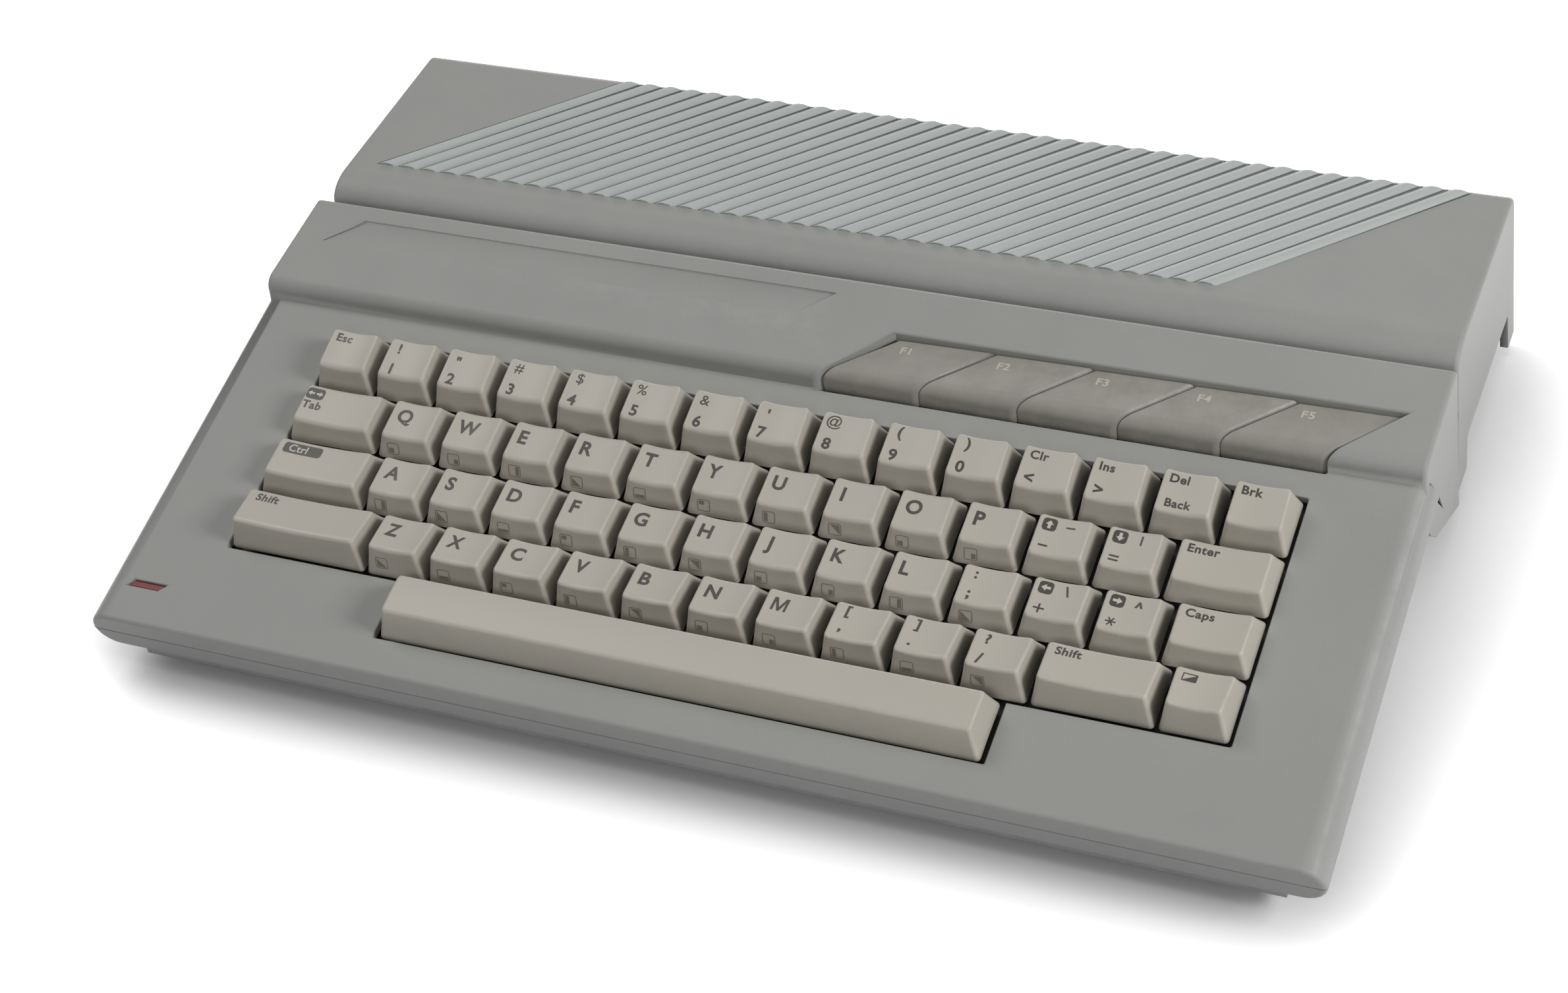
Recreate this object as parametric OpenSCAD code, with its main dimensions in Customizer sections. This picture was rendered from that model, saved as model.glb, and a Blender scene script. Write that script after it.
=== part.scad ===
// Vintage home computer: a low wedge case with a stepped top, a full typing keyboard with
// separate sprung caps, five slanted function keys, a ribbed vent deck and rear sockets.
// Millimetres. X to the right, Y to the rear, Z up. Origin: middle of the footprint, on the table.

/* [Case] */
// How far the keyboard slab reaches past the lower tub, left and right
side_overhang = 11.3; // [10:0.1:14]
// Inset of the middle step's top edge from the edge of the deck
mid_inset = 2.7; // [2:0.1:4]
// Inset of the rear step's top edge from the edge of the deck
rear_inset = 3.7; // [2.5:0.1:5]
// How far the side walls lean out from top to bottom
side_draft = 1.5; // [0:0.1:3]
// Tilt of the keyboard deck, degrees
deck_tilt = 11; // [5:0.5:15]
// Height of the flat rear top above the table
top_z = 56.6; // [50:0.1:70]
// Wall thickness of both case halves
wall = 2.4; // [1.6:0.1:3.2]
// Thickness of the keyboard slab
slab_thick = 13.4; // [11:0.1:18]
// Gap left between parts that do not touch
fit = 0.3; // [0.2:0.05:0.6]

/* [Keyboard] */
// Distance from one key to the next
pitch = 19.05; // [18:0.01:20]
// Gap on each side of a cap at its base
cap_gap = 0.55; // [0.4:0.05:1]
// Inset of the cap top from its cell, left and right
cap_inset = 2.5; // [1.5:0.1:4]
// How far a key goes down
key_travel = 3.4; // [2:0.1:4]
// Radius of the key stems
stem_r = 2.2; // [1.5:0.1:3]

/* [Function keys] */
// Distance from one function key to the next, along the case
fkey_pitch = 28.1; // [20:0.05:35]
// Sideways lean of the slanted ends, per millimetre of depth
fkey_lean = 0.95; // [0:0.01:1.5]
// Gap between two function keys
fkey_gap = 0.7; // [0.4:0.1:1.5]

/* [Vent ribs] */
// Number of diagonal ribs
rib_count = 37; // [20:1:45]
// Distance between ribs along the case
rib_pitch = 7.108; // [6:0.01:9]
// Angle of the ribs from the front-to-rear direction, degrees
rib_angle = 46.4; // [30:0.1:60]
// Height of the rib crests above the rear top
rib_rise = 0.8; // [0:0.1:2]

/* [Hidden] */
$fn = 48;

// widths from the middle outwards: key columns, opening, keyboard frame, screw posts, tub, slab, steps
opening_x = 7.5 * pitch + 0.525; frame_x = opening_x + 5.6; post_x = frame_x + 7;
belly_half = post_x + 7; deck_half = belly_half + side_overhang;
mid_half = deck_half - mid_inset; rear_half = deck_half - rear_inset;
board_half = belly_half - 15; foot_x = belly_half - 23;
port_block = belly_half - 21;          // inner end of the controller port blocks
// deck frame: s runs up the slope, h stands off the deck face
deck_y = -75; deck_z = 31;
deck_front = -40; deck_rear = 76.0;
half_slab = slab_thick / 2; slab_end = 73;
part_gap = 0.25;                       // shadow gap at the front parting line
// steps of the case, in Y and Z
mid_y0 = -0.4; mid_y1 = 34.6; mid_z0 = 52.2; mid_z1 = 56.0; mid_r = 4.2;
rear_y0 = 40.4; rear_y1 = 112.5; rear_flat1 = rear_y1 - 4; rear_foot = rear_y1 + 1.8;
trench_z = 49.4;
floor_z = 4; floor_top = floor_z + wall;
belly_y0 = -108; belly_y1 = rear_y1 - 4;
belly_rear_z = 41; belly_side_z = 36;
board_z = 8; board_t = 1.6; board_top = board_z + board_t;
rear_lip_z = 38.5;                     // lower edge of the top cover over the rear sockets
port_y = [63.5, 91.5]; port_z = 14;
port_cut_z = port_z + 4;               // lower edge of the right wall over the controller ports
port_cut_y0 = port_y[0] - 10; port_cut_y1 = port_y[1] + 13;

// key rows, from the rear: row centre and heights of the cap top at its rear and front edge
row_s = [57.15, 38.1, 19.05, 0, -19.05];
row_rear = [8.8, 6.4, 5.8, 6.7, 8.8];
row_front = [7.5, 6.3, 6.5, 9.0, 9.2];
cap_base = -1.0; cap_deep = 9.0; cap_top_rear = 5.87; cap_top_front = -6.37; cap_wall = 1.5; dish_deep = 0.6;
frame_top = cap_base - key_travel - 0.7; frame_t = 2.2; sleeve_end = -9.0;
stem_end = -9.3; sheet_top = -13.2; sheet_t = 0.8; plate_t = 1.0;
opening_s0 = -10.3; opening_s1 = 67.2;
frame_s0 = -31; frame_s1 = 71.5;
space_x = -1.5; space_w = 9;
slot_x0 = space_x - space_w * pitch / 2 - 1.375; slot_x1 = space_x + space_w * pitch / 2 + 0.975; slot_s0 = -29;

// [name, row, left edge in key units, width in key units]
KEYS = [["key_esc",0,0,1],["key_backspace",0,13,1],["key_break",0,14,1],
  ["key_tab",1,0,1.5],["key_q",1,1.5,1],["key_w",1,2.5,1],["key_e",1,3.5,1],["key_r",1,4.5,1],["key_t",1,5.5,1],
  ["key_y",1,6.5,1],["key_u",1,7.5,1],["key_i",1,8.5,1],["key_o",1,9.5,1],["key_p",1,10.5,1],["key_return",1,13.5,1.5],
  ["key_control",2,0,1.75],["key_a",2,1.75,1],["key_s",2,2.75,1],["key_d",2,3.75,1],["key_f",2,4.75,1],
  ["key_g",2,5.75,1],["key_h",2,6.75,1],["key_j",2,7.75,1],["key_k",2,8.75,1],["key_l",2,9.75,1],
  ["key_caps",2,13.75,1.25],["key_shift_left",3,0,2.25],["key_z",3,2.25,1],["key_x",3,3.25,1],["key_c",3,4.25,1],
  ["key_v",3,5.25,1],["key_b",3,6.25,1],["key_n",3,7.25,1],["key_m",3,8.25,1],["key_shift_right",3,12.25,1.75],
  ["key_inverse",3,14,1]];
NUMBERS = [for (i = [1:12]) [0, i, 1]];
SYMBOLS = [[1,11.5,1],[1,12.5,1],[2,10.75,1],[2,11.75,1],[2,12.75,1],[3,9.25,1],[3,10.25,1],[3,11.25,1]];
ALL_STEMS = concat([for (k = KEYS) [(k[2] + k[3] / 2 - 7.5) * pitch, row_s[k[1]]]],
  [for (k = NUMBERS) [(k[1] + 0.5 - 7.5) * pitch, row_s[k[0]]]],
  [for (k = SYMBOLS) [(k[1] + 0.5 - 7.5) * pitch, row_s[k[0]]]],
  [for (dx = [-55, 0, 55]) [space_x + dx, row_s[4]]]);

// colours
shell_grey = [0.60, 0.60, 0.59]; cap_grey = [0.74, 0.72, 0.68]; fkey_grey = [0.55, 0.54, 0.50];
board_green = [0.10, 0.33, 0.18]; black = [0.08, 0.08, 0.08]; metal = [0.72, 0.72, 0.70];

function arc(cx, cy, r, a0, a1, n = 8) = [for (i = [0:n]) let (a = a0 + (a1 - a0) * i / n) [cx + r * cos(a), cy + r * sin(a)]];

// places children in the tilted deck frame
module deck() { translate([0, deck_y, deck_z]) rotate([deck_tilt, 0, 0]) children(); }
// a Y-Z outline drawn across the case from x0 to x1
module across(x0, x1) {
  translate([x0, 0, 0]) rotate([90, 0, 90]) linear_extrude(height = x1 - x0) children();
}
// an X-Z outline drawn from y0 to y1
module along(y0, y1) {
  translate([0, y1, 0]) rotate([90, 0, 0]) linear_extrude(height = y1 - y0) children();
}

// ---------- case ----------
module slab_outline(o = 0) {
  union() {
    translate([-(deck_half - half_slab), -slab_thick + o]) square([2 * (deck_half - half_slab), slab_thick - 2 * o]);
    for (m = [-1, 1]) translate([m * (deck_half - half_slab), -half_slab]) circle(r = half_slab - o, $fn = 64);
  }
}
module lean(half, o) {
  polygon([[-(half - o), top_z + 3], [half - o, top_z + 3], [half + side_draft - o, 0], [-(half + side_draft - o), 0]]);
}
function mid_top(o) = concat([[mid_y0 + o, 33]], arc(mid_y0 + mid_r, mid_z0 - mid_r + 0.4, mid_r - o, 180, 97, 8),
  [[mid_y1, mid_z1 - o * 1.01], [mid_y1 + 1.2 - o, mid_z1 - 1.2 - o], [mid_y1 + 1.8 - o, 30]]);
function rear_top(o) = concat([[rear_y0 + o, 30], [rear_y0 + o, 50.4]],
  [for (i = [1:8]) let (a = 180 - i * 90 / 8) [rear_y0 + 9.6 + (9.6 - o) * cos(a), top_z - 6.2 + (6.2 - o) * sin(a)]],
  arc(rear_flat1, top_z - 4, 4 - o, 90, 0, 6), [[rear_y1 - o + 1.2, 30]]);
// outside of the middle and rear steps with their skirts
module steps_outer() {
  intersection() {
    across(-180, 180) polygon(concat(mid_top(0), [[mid_y1 + 3, 6], [37, 6], [10, 19], [4, 25]]));
    along(-5, 60) lean(mid_half, 0);
  }
  intersection() {
    across(-180, 180) polygon(concat(rear_top(0), [[rear_foot, 5], [rear_foot - 8, 5], [52, 7], [rear_y0, 7]]));
    along(30, 130) lean(rear_half, 0);
  }
  // bridge under the valley between the two steps
  intersection() {
    across(-180, 180) polygon([[30, trench_z], [50, trench_z], [50, 7], [36, 7], [30, 12]]);
    along(20, 60) lean(rear_half - 0.2, 0);
  }
}
module steps_inner() {
  intersection() {
    across(-180, 180) polygon([[mid_y0 + wall, 0], [mid_y0 + wall, 45], [mid_y0 + 5, mid_z0 - wall - 1],
      [mid_y1 - 2.5, mid_z1 - wall - 0.4], [mid_y1 - 0.8, trench_z - wall], [rear_y0 + wall, trench_z - wall],
      [rear_y0 + wall + 5, top_z - wall - 1], [rear_y0 + 12, top_z - wall], [rear_flat1, top_z - wall],
      [rear_y1 - wall, top_z - wall - 3], [rear_y1 - wall, 0]]);
    along(-5, 130) lean(rear_half, wall);
  }
}
rib_dx = tan(rib_angle); rib_step = rib_pitch * cos(rib_angle); rib_r = 2.62;
rib_x0 = -rear_half + 9; rib_y0 = 54.3; rib_y1 = rear_y1 - 2.9;
module ribs() {
  intersection() {
    translate([rib_x0, rib_y0, 0]) rotate([0, 0, -rib_angle]) for (i = [0:rib_count - 1])
      translate([(i + 0.5) * rib_step, -130, top_z + rib_rise - rib_r]) rotate([-90, 0, 0]) cylinder(r = rib_r, h = 430);
    translate([0, 0, top_z - 2]) linear_extrude(height = 6) rib_area();
  }
}
module rib_area() {
  polygon([[rib_x0, rib_y0], [rib_x0 + rib_count * rib_pitch, rib_y0],
    [rib_x0 + rib_count * rib_pitch + rib_dx * (rib_y1 - rib_y0), rib_y1], [rib_x0 + rib_dx * (rib_y1 - rib_y0), rib_y1]]);
}
fk_y1 = 17.9; fk_x = 21.3;             // rear left corner of the first function key
module fkey_plan(x0, x1, g) {
  polygon([[x0 + g, fk_y1 - g], [x1 - g, fk_y1 - g], [x1 - g - fkey_lean * 25, fk_y1 - 25], [x0 + g - fkey_lean * 25, fk_y1 - 25]]);
}
badge_y0 = 18.8; badge_tilt = 2.6;     // shallow wedge bed, deepest at its rear edge
mid_slope = (mid_z1 - mid_z0) / (mid_y1 - 3.8);
function mid_z(y) = mid_z0 + mid_slope * (y - 3.8);
module keyboard_opening(o = 0) {
  translate([-opening_x - o, opening_s0 - o]) square([2 * (opening_x + o), opening_s1 - opening_s0 + 2 * o]);
  translate([slot_x0 - o, slot_s0 - o]) square([slot_x1 - slot_x0 + 2 * o, 25]);
}
light_x = -deck_half + 7.7;
light = [[light_x, -28.2], [light_x + 1.6, -26.2], [light_x + 11.6, -26.2], [light_x + 10, -28.2]];
post_xy = [[-post_x, -83], [post_x, -83], [-post_x, 31], [post_x, 31], [-post_x, rear_y1 - 14.5], [port_block - 10.5, rear_y1 - 24.5]];
function post_split(y) = y < -50 ? 15 : 22;
// posts of the keyboard frame: X and place up the deck
kb_x = frame_x + 3.5;
kb_posts = [for (s = [64, 20, -18.5]) for (m = [-1, 1]) [m * kb_x, s]];

module top_cover() color(shell_grey) {
  difference() {
    union() {
      // deck half of the slab
      deck() intersection() {
        translate([0, deck_rear + 3, 0]) rotate([90, 0, 0])
          linear_extrude(height = deck_rear + 3 - deck_front) slab_outline();
        translate([-200, -60, -half_slab]) cube([400, 160, 30]);
      }
      steps_outer();
    }
    // hollow under the deck
    deck() difference() {
      intersection() {
        translate([0, deck_rear - wall, 0]) rotate([90, 0, 0])
          linear_extrude(height = deck_rear - wall - deck_front - wall) slab_outline(wall);
        translate([-200, -60, -half_slab - 1]) cube([400, 160, 30]);
      }
      translate([-200, -60, -wall]) cube([400, 200, 20]);
    }
    // opens the deck hollow into the step hollow
    translate([-belly_half + 3, -5, 12]) cube([2 * (belly_half - 3), 12, 30]);
    steps_inner();
    deck() translate([0, 0, -wall - 8]) linear_extrude(height = 30) keyboard_opening();
    // openings on the middle step: function keys and the shallow badge bed
    intersection() {
      translate([0, 0, 30]) linear_extrude(height = 40) fkey_plan(fk_x - 0.9, fk_x + 5 * fkey_pitch + 1.2, 0);
      translate([-10, mid_y0 - 0.3, 20]) cube([200, 40, 60]);
    }
    translate([0, badge_y0, mid_z(badge_y0)]) rotate([badge_tilt, 0, 0]) linear_extrude(height = 5)
      polygon([[-mid_half + 9.9, 0], [-mid_half + 19.3, 10.2], [-1.2, 10.2], [-10.6, 0]]);
    // power light window
    deck() translate([0, 0, -5]) linear_extrude(height = 10) offset(delta = fit / 2) polygon(light);
    // groove for the last rib flank, right wall cut over the controller ports, rear socket bay
    across(belly_half - 3, 180) polygon([[port_cut_y0 - 2.5, -1], [port_cut_y0 - 1, port_cut_z - 1], [port_cut_y0, port_cut_z],
      [port_cut_y1, port_cut_z], [port_cut_y1 + 1, port_cut_z - 1], [port_cut_y1 + 2.5, -1]]);
    across(-belly_half - 2, belly_half + 2) polygon([[rear_y1 - wall - 0.5, 0], [rear_y1 - wall - 0.5, rear_lip_z], [130, rear_lip_z], [130, 0]]);
    // seam lines down the side walls between the steps
    for (m = [-1, 1]) translate([m * (rear_half + 2.2) - 1.6, rear_y0 - 0.4, 0]) cube([3.2, 0.8, trench_z + 8]);
    // bed for the ribs
    translate([0, 0, top_z - 1.2]) linear_extrude(height = 4) rib_area();
  }
  ribs();
  // hinge channel for the function keys
  difference() {
    translate([fk_x - 4, hinge_y - 3.2, hinge_z - 2.9]) cube([5 * fkey_pitch + 6, 6.2, 5.2]);
    translate([0, hinge_y, hinge_z]) rotate([0, 90, 0]) cylinder(r = hinge_r + fit, h = 200);
    translate([0, hinge_y - 6, hinge_z - 1]) cube([200, 6, 2]);
  }
  // screw posts and keyboard posts
  for (p = post_xy) difference() {
    top_post(p);
    translate([p[0], p[1], post_split(p[1]) - 1]) cylinder(r = 1.5, h = 9);
  }
  for (p = kb_posts) deck() difference() {
    translate([p[0], p[1], frame_top]) cylinder(r = 3, h = -frame_top - wall + 0.2);
    translate([p[0], p[1], frame_top - 1]) cylinder(r = 1.0, h = 4);
  }
}
function under_top(y) = y < 0 ? deck_z + (y - deck_y) * tan(deck_tilt) - wall : (y < 40 ? 52.6 : top_z - wall);
module top_post(p) {
  translate([p[0], p[1], post_split(p[1])]) cylinder(r = 4, h = under_top(p[1]) - post_split(p[1]) + 0.3);
}

module belly(o) {
  intersection() {
    translate([-belly_half + o, belly_y0 + o, floor_z + o]) cube([2 * (belly_half - o), belly_y1 - belly_y0 - 2 * o, 60]);
    across(-180, 180) polygon([[-120, -1], [-120, 23.5 - half_slab * 1.02], [-2, 46.0 - half_slab * 1.02], [-2, belly_side_z],
      [belly_y1 - wall - 0.01 + o * 2, belly_side_z], [belly_y1 - wall - 0.01 + o * 2, belly_rear_z + o * 2], [120, belly_rear_z + o * 2], [120, -1]]);
  }
}
module bottom_cover() color(shell_grey * 0.97) {
  difference() {
    union() {
      deck() intersection() {
        translate([0, slab_end, 0]) rotate([90, 0, 0]) linear_extrude(height = slab_end - deck_front) slab_outline();
        translate([-200, -60, -30]) cube([400, 160, 30 - half_slab - part_gap]);
      }
      belly(0);
      for (p = post_xy) translate([p[0], p[1], floor_z]) cylinder(r = 5, h = post_split(p[1]) - floor_z);
    }
    // inside of the slab half, kept clear of the posts
    difference() {
      union() {
        deck() intersection() {
          translate([0, slab_end + 1, 0]) rotate([90, 0, 0])
            linear_extrude(height = slab_end + 1 - deck_front - wall) slab_outline(wall);
          translate([-200, -60, -30]) cube([400, 160, 40]);
        }
        belly(wall);
      }
      for (p = post_xy) translate([p[0], p[1], 0]) cylinder(r = 5, h = post_split(p[1]));
    }
    for (p = post_xy) {
      translate([p[0], p[1], -1]) cylinder(r = 1.8, h = 40);
      translate([p[0], p[1], -1]) cylinder(r = 3.4, h = floor_z + 4.1);
    }
    rear_cuts();
    // notches for the front wall of the middle step
    for (m = [-1, 1]) translate([m * belly_half - 5, mid_y0 - fit, 28]) cube([10, wall + 2 * fit, 20]);
    for (y = port_y) translate([belly_half - wall - 1, y, port_z]) rotate([90, 0, 90])
      linear_extrude(height = 6) offset(delta = fit) dsub_face();
    // cooling slots in the floor
    for (i = [-6:6]) translate([i * 16 - 2, 45, 0]) cube([4, 40, 20]);
  }
  // cheeks that carry the pivot of the power switch
  for (m = [-1, 1]) difference() {
    translate([switch_x + m * (6.2 + fit + 1.5) - 1.5, belly_y1 - wall - 6, switch_z - 5]) cube([3, 6.2, 10]);
    translate([switch_x - 12, pivot_y, switch_z]) rotate([0, 90, 0]) cylinder(r = 1.2 + fit, h = 24);
  }
  // supports under the circuit board
  for (p = board_posts) translate([p[0], p[1], floor_top - 0.2]) cylinder(r = 3, h = board_z - floor_top + 0.2);
}
board_posts = [[-foot_x, -30], [foot_x, -30], [-foot_x, 40], [foot_x, 40], [0, -30], [0, 30], [-foot_x, rear_y1 - 14.5], [foot_x - 10, rear_y1 - 14.5],
  [-foot_x + 40, -30], [foot_x - 40, -30]];

// ---------- rear sockets ----------
socket_y = belly_y1 - 16.5; socket_out = belly_y1 + 0.5;   // inner and outer ends of the rear sockets
switch_x = belly_half - 20; din_x = [switch_x - 25, switch_x - 67]; tv_x = switch_x - 45; serial_x = -belly_half + 65; cart_x = 12;
din_z = board_top + 9.4; serial_z = board_top + 7.5; cart_z = board_top + 10; switch_z = board_top + 10;
module dsub_face() {
  polygon([[-8.6, 4.1], [8.6, 4.1], [7.2, -4.1], [-7.2, -4.1]]);
}
module serial_face() {
  polygon([[-17, 4.6], [17, 4.6], [14, -4.6], [-14, -4.6]]);
}
module rear_cuts() {
  y0 = belly_y1 - wall - 1;
  for (x = din_x) translate([x, y0, din_z]) rotate([-90, 0, 0]) cylinder(r = 8.6, h = wall + 3);
  translate([tv_x, y0, din_z]) rotate([-90, 0, 0]) cylinder(r = 5.0, h = wall + 3);
  translate([serial_x, y0 + wall + 3, serial_z]) rotate([90, 0, 0]) linear_extrude(height = wall + 3) offset(delta = fit) serial_face();
  translate([cart_x - 38 - fit, y0, cart_z - 8 - fit]) cube([76 + 2 * fit, wall + 3, 16 + 2 * fit]);
  translate([switch_x - 6.2 - fit, y0, switch_z - 10.6]) cube([12.4 + 2 * fit, wall + 3, 21.2]);
}
module din_sockets() color(black) {
  for (x = din_x) translate([x, 0, din_z]) {
    difference() {
      union() {
        translate([0, socket_y, 0]) rotate([-90, 0, 0]) cylinder(r = 8.2, h = 17);
        translate([-8.2, socket_y, board_top - din_z]) cube([16.4, 11, 9]);
      }
      // plug ring slot and centre
      translate([0, socket_y + 6, 0]) rotate([-90, 0, 0]) difference() {
        cylinder(r = 7.1, h = 20);
        translate([0, 0, -1]) cylinder(r = 5.4, h = 12.4);
      }
      // pin holes on an arc
      for (a = [0:45:180]) translate([3.3 * cos(a), socket_y + 6, -3.3 * sin(a) + 1]) rotate([-90, 0, 0]) cylinder(r = 0.75, h = 13, $fn = 8);
    }
  }
  // coaxial television jack
  translate([tv_x, 0, din_z]) difference() {
    union() {
      translate([0, socket_y + 8, 0]) rotate([-90, 0, 0]) cylinder(r = 4.6, h = 10.5);
      translate([-6, socket_y, board_top - din_z]) cube([12, 10, 15]);
    }
    translate([0, socket_y + 4, 0]) rotate([-90, 0, 0]) cylinder(r = 1.7, h = 20);
  }
}
module cartridge_slot() color(black) {
  difference() {
    translate([cart_x - 38, socket_y, cart_z - 8]) cube([76, 17, 16]);
    // long edge slot and the shorter expansion slot beside it
    translate([cart_x - 34, socket_y + 5, cart_z - 2.6]) cube([46, 20, 5.2]);
    translate([cart_x + 15, socket_y + 5, cart_z - 2.6]) cube([19, 20, 5.2]);
  }
  translate([cart_x - 38, socket_y, board_top]) cube([76, 8, cart_z - 8 - board_top + 0.2]);
}
module serial_port() color(black) {
  difference() {
    union() {
      translate([serial_x, socket_out, serial_z]) rotate([90, 0, 0]) linear_extrude(height = 14) serial_face();
      translate([serial_x - 17, socket_y, board_top]) cube([34, 12, serial_z - board_top]);
    }
    translate([serial_x, socket_out + 11, serial_z]) rotate([90, 0, 0]) linear_extrude(height = 19) offset(delta = -1.4) serial_face();
  }
  // thirteen pins in two rows
  for (i = [0:6]) translate([serial_x - 11.4 + i * 3.8, socket_y + 7, serial_z + 1.5]) rotate([-90, 0, 0]) cylinder(r = 0.8, h = 8, $fn = 16);
  for (i = [0:5]) translate([serial_x - 9.5 + i * 3.8, socket_y + 7, serial_z - 1.6]) rotate([-90, 0, 0]) cylinder(r = 0.8, h = 8, $fn = 16);
}
module controller_ports() color(metal) {
  for (y = port_y) {
    difference() {
      union() {
        translate([belly_half - wall - 3.4, y - 12.4, board_top]) cube([3.1, 24.8, 10]);
        translate([belly_half - wall - 2, y, port_z]) rotate([90, 0, 90]) linear_extrude(height = wall + 2.6) dsub_face();
        translate([port_block, y - 12.4, board_top]) cube([belly_half - wall - 3 - port_block, 24.8, 3]);
      }
      translate([belly_half - wall - 1.4, y, port_z]) rotate([90, 0, 90]) linear_extrude(height = wall + 6) offset(delta = -0.9) dsub_face();
    }
    // nine pins
    for (i = [0:4]) translate([belly_half - wall - 2, y - 5.54 + i * 2.77, port_z + 1.42]) rotate([0, 90, 0]) cylinder(r = 0.5, h = 4.4, $fn = 16);
    for (i = [0:3]) translate([belly_half - wall - 2, y - 4.16 + i * 2.77, port_z - 1.42]) rotate([0, 90, 0]) cylinder(r = 0.5, h = 4.4, $fn = 16);
  }
}
pivot_y = belly_y1 - 5.3;
module power_switch() color(black) {
  // rocker pad with two faces meeting at a shallow angle, on a round pivot
  translate([switch_x - 6.2, 0, 0]) across(0, 12.4)
    polygon([[pivot_y - 2.6, switch_z - 3], [pivot_y + 2.6, switch_z - 8.6], [pivot_y + 6.3, switch_z - 9.0],
      [pivot_y + 5.7, switch_z], [pivot_y + 8, switch_z + 8.8], [pivot_y + 2.6, switch_z + 8.6], [pivot_y - 2.6, switch_z + 3]]);
  translate([switch_x - 6.2 - fit - 2.4, pivot_y, switch_z]) rotate([0, 90, 0]) cylinder(r = 1.2, h = 12.4 + 2 * fit + 4.8);
}

// ---------- inside ----------
module keyboard_frame() color([0.30, 0.30, 0.31]) deck() {
  difference() {
    union() {
      translate([-frame_x, frame_s0, frame_top - frame_t]) cube([2 * frame_x, frame_s1 - frame_s0, frame_t]);
      for (y = [frame_s0, frame_s1 - 2]) translate([-frame_x, y, sheet_top - sheet_t]) cube([2 * frame_x, 2, frame_top - sheet_top + sheet_t]);
      for (x = [-frame_x, frame_x - 2]) translate([x, frame_s0, sheet_top - sheet_t]) cube([2, frame_s1 - frame_s0, frame_top - sheet_top + sheet_t]);
      for (p = ALL_STEMS) translate([p[0], p[1], sleeve_end]) cylinder(r = 3.6, h = -sleeve_end + frame_top - 1);
      // ears under the posts of the top cover
      for (p = kb_posts) translate([p[0] > 0 ? frame_x - 3 : -frame_x - 8, p[1] - 4, frame_top - frame_t]) cube([11, 8, frame_t]);
    }
    for (p = ALL_STEMS) translate([p[0], p[1], sleeve_end - 1]) cylinder(r = stem_r + fit, h = 12);
    for (p = kb_posts) translate([p[0], p[1], frame_top - 5]) cylinder(r = 1.2, h = 8);
  }
}
module dome_sheet() color([0.80, 0.79, 0.74]) deck() {
  difference() {
    union() {
      translate([-frame_x + 2 + fit, frame_s0 + 2 + fit, sheet_top - sheet_t])
        cube([2 * (frame_x - 2 - fit), frame_s1 - frame_s0 - 4 - 2 * fit, sheet_t]);
      for (p = ALL_STEMS) translate([p[0], p[1], sheet_top - 0.3]) cylinder(r1 = 4.8, r2 = 3.9, h = 3.6);
    }
    for (p = ALL_STEMS) translate([p[0], p[1], sheet_top]) cylinder(r = stem_r + 0.7, h = 8);
  }
}
module keyboard_backplate() color(metal) deck() {
  difference() {
    translate([-frame_x, frame_s0, sheet_top - sheet_t - plate_t]) cube([2 * frame_x, frame_s1 - frame_s0, plate_t]);
    for (x = [-120:60:120]) translate([x, 48, -20]) cylinder(r = 2, h = 10);
  }
}
module main_board() color(board_green) {
  difference() {
    translate([-board_half, -42, board_z]) cube([2 * board_half, belly_y1 - 4.5 + 42, board_t]);
    // cut-outs around the case posts
    for (p = post_xy) translate([p[0], p[1], 0]) cylinder(r = 6, h = 20);
  }
}
module chips() color(black) {
  for (c = [[-110, -20, 52], [-45, -20, 52], [20, -20, 52], [-110, 20, 36], [-60, 20, 36], [-10, 20, 36], [85, -20, 36]])
    translate([c[0], c[1], board_top]) cube([c[2], 14, 4]);
  for (i = [0:7]) translate([-120 + i * 17, 56, board_top]) cube([8, 20, 4]);
  for (i = [0:3]) translate([40 + i * 17, 56, board_top]) cube([8, 20, 4]);
}
shield_w = 2 * board_half - 40; shield_d = socket_y - 16; shield_h = board_t * 10;
module rf_shield() color(metal) {
  difference() {
    translate([-board_half + 16, 8, board_top]) cube([shield_w, shield_d, shield_h]);
    translate([-board_half + 17, 9, 0]) cube([shield_w - 2, shield_d - 2, board_top + shield_h - 1]);
    for (i = [0:11]) for (j = [0:2]) translate([-board_half + 36 + i * 19, 24 + j * 20, board_top + shield_h - 6]) cylinder(r = 4, h = 10);
  }
}
module case_screws() color(metal) {
  for (p = post_xy) translate([p[0], p[1], 0]) {
    translate([0, 0, floor_z + 0.6]) cylinder(r = 3.0, h = 2.5);
    translate([0, 0, floor_z + 3]) cylinder(r = 1.35, h = post_split(p[1]) + 6 - floor_z - 3);
  }
}
module rubber_feet() color([0.12, 0.12, 0.12]) {
  for (mx = [-1, 1]) for (y = [belly_y0 + 14, belly_y1 - 12.5]) translate([mx * foot_x, y, 0]) {
    cylinder(r1 = 5.4, r2 = 6, h = 1);
    translate([0, 0, 0.9]) cylinder(r = 6, h = floor_z - 0.9);
  }
}
module power_light() color([0.45, 0.03, 0.03]) deck() translate([0, 0, -5.2]) {
  linear_extrude(height = 4.6) polygon(light);
  // flange that seats against the inside of the deck
  translate([light_x - 0.9, -31, 0.2]) cube([15.1, 7.6, 5.2 - wall - 0.2]);
}

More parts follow.
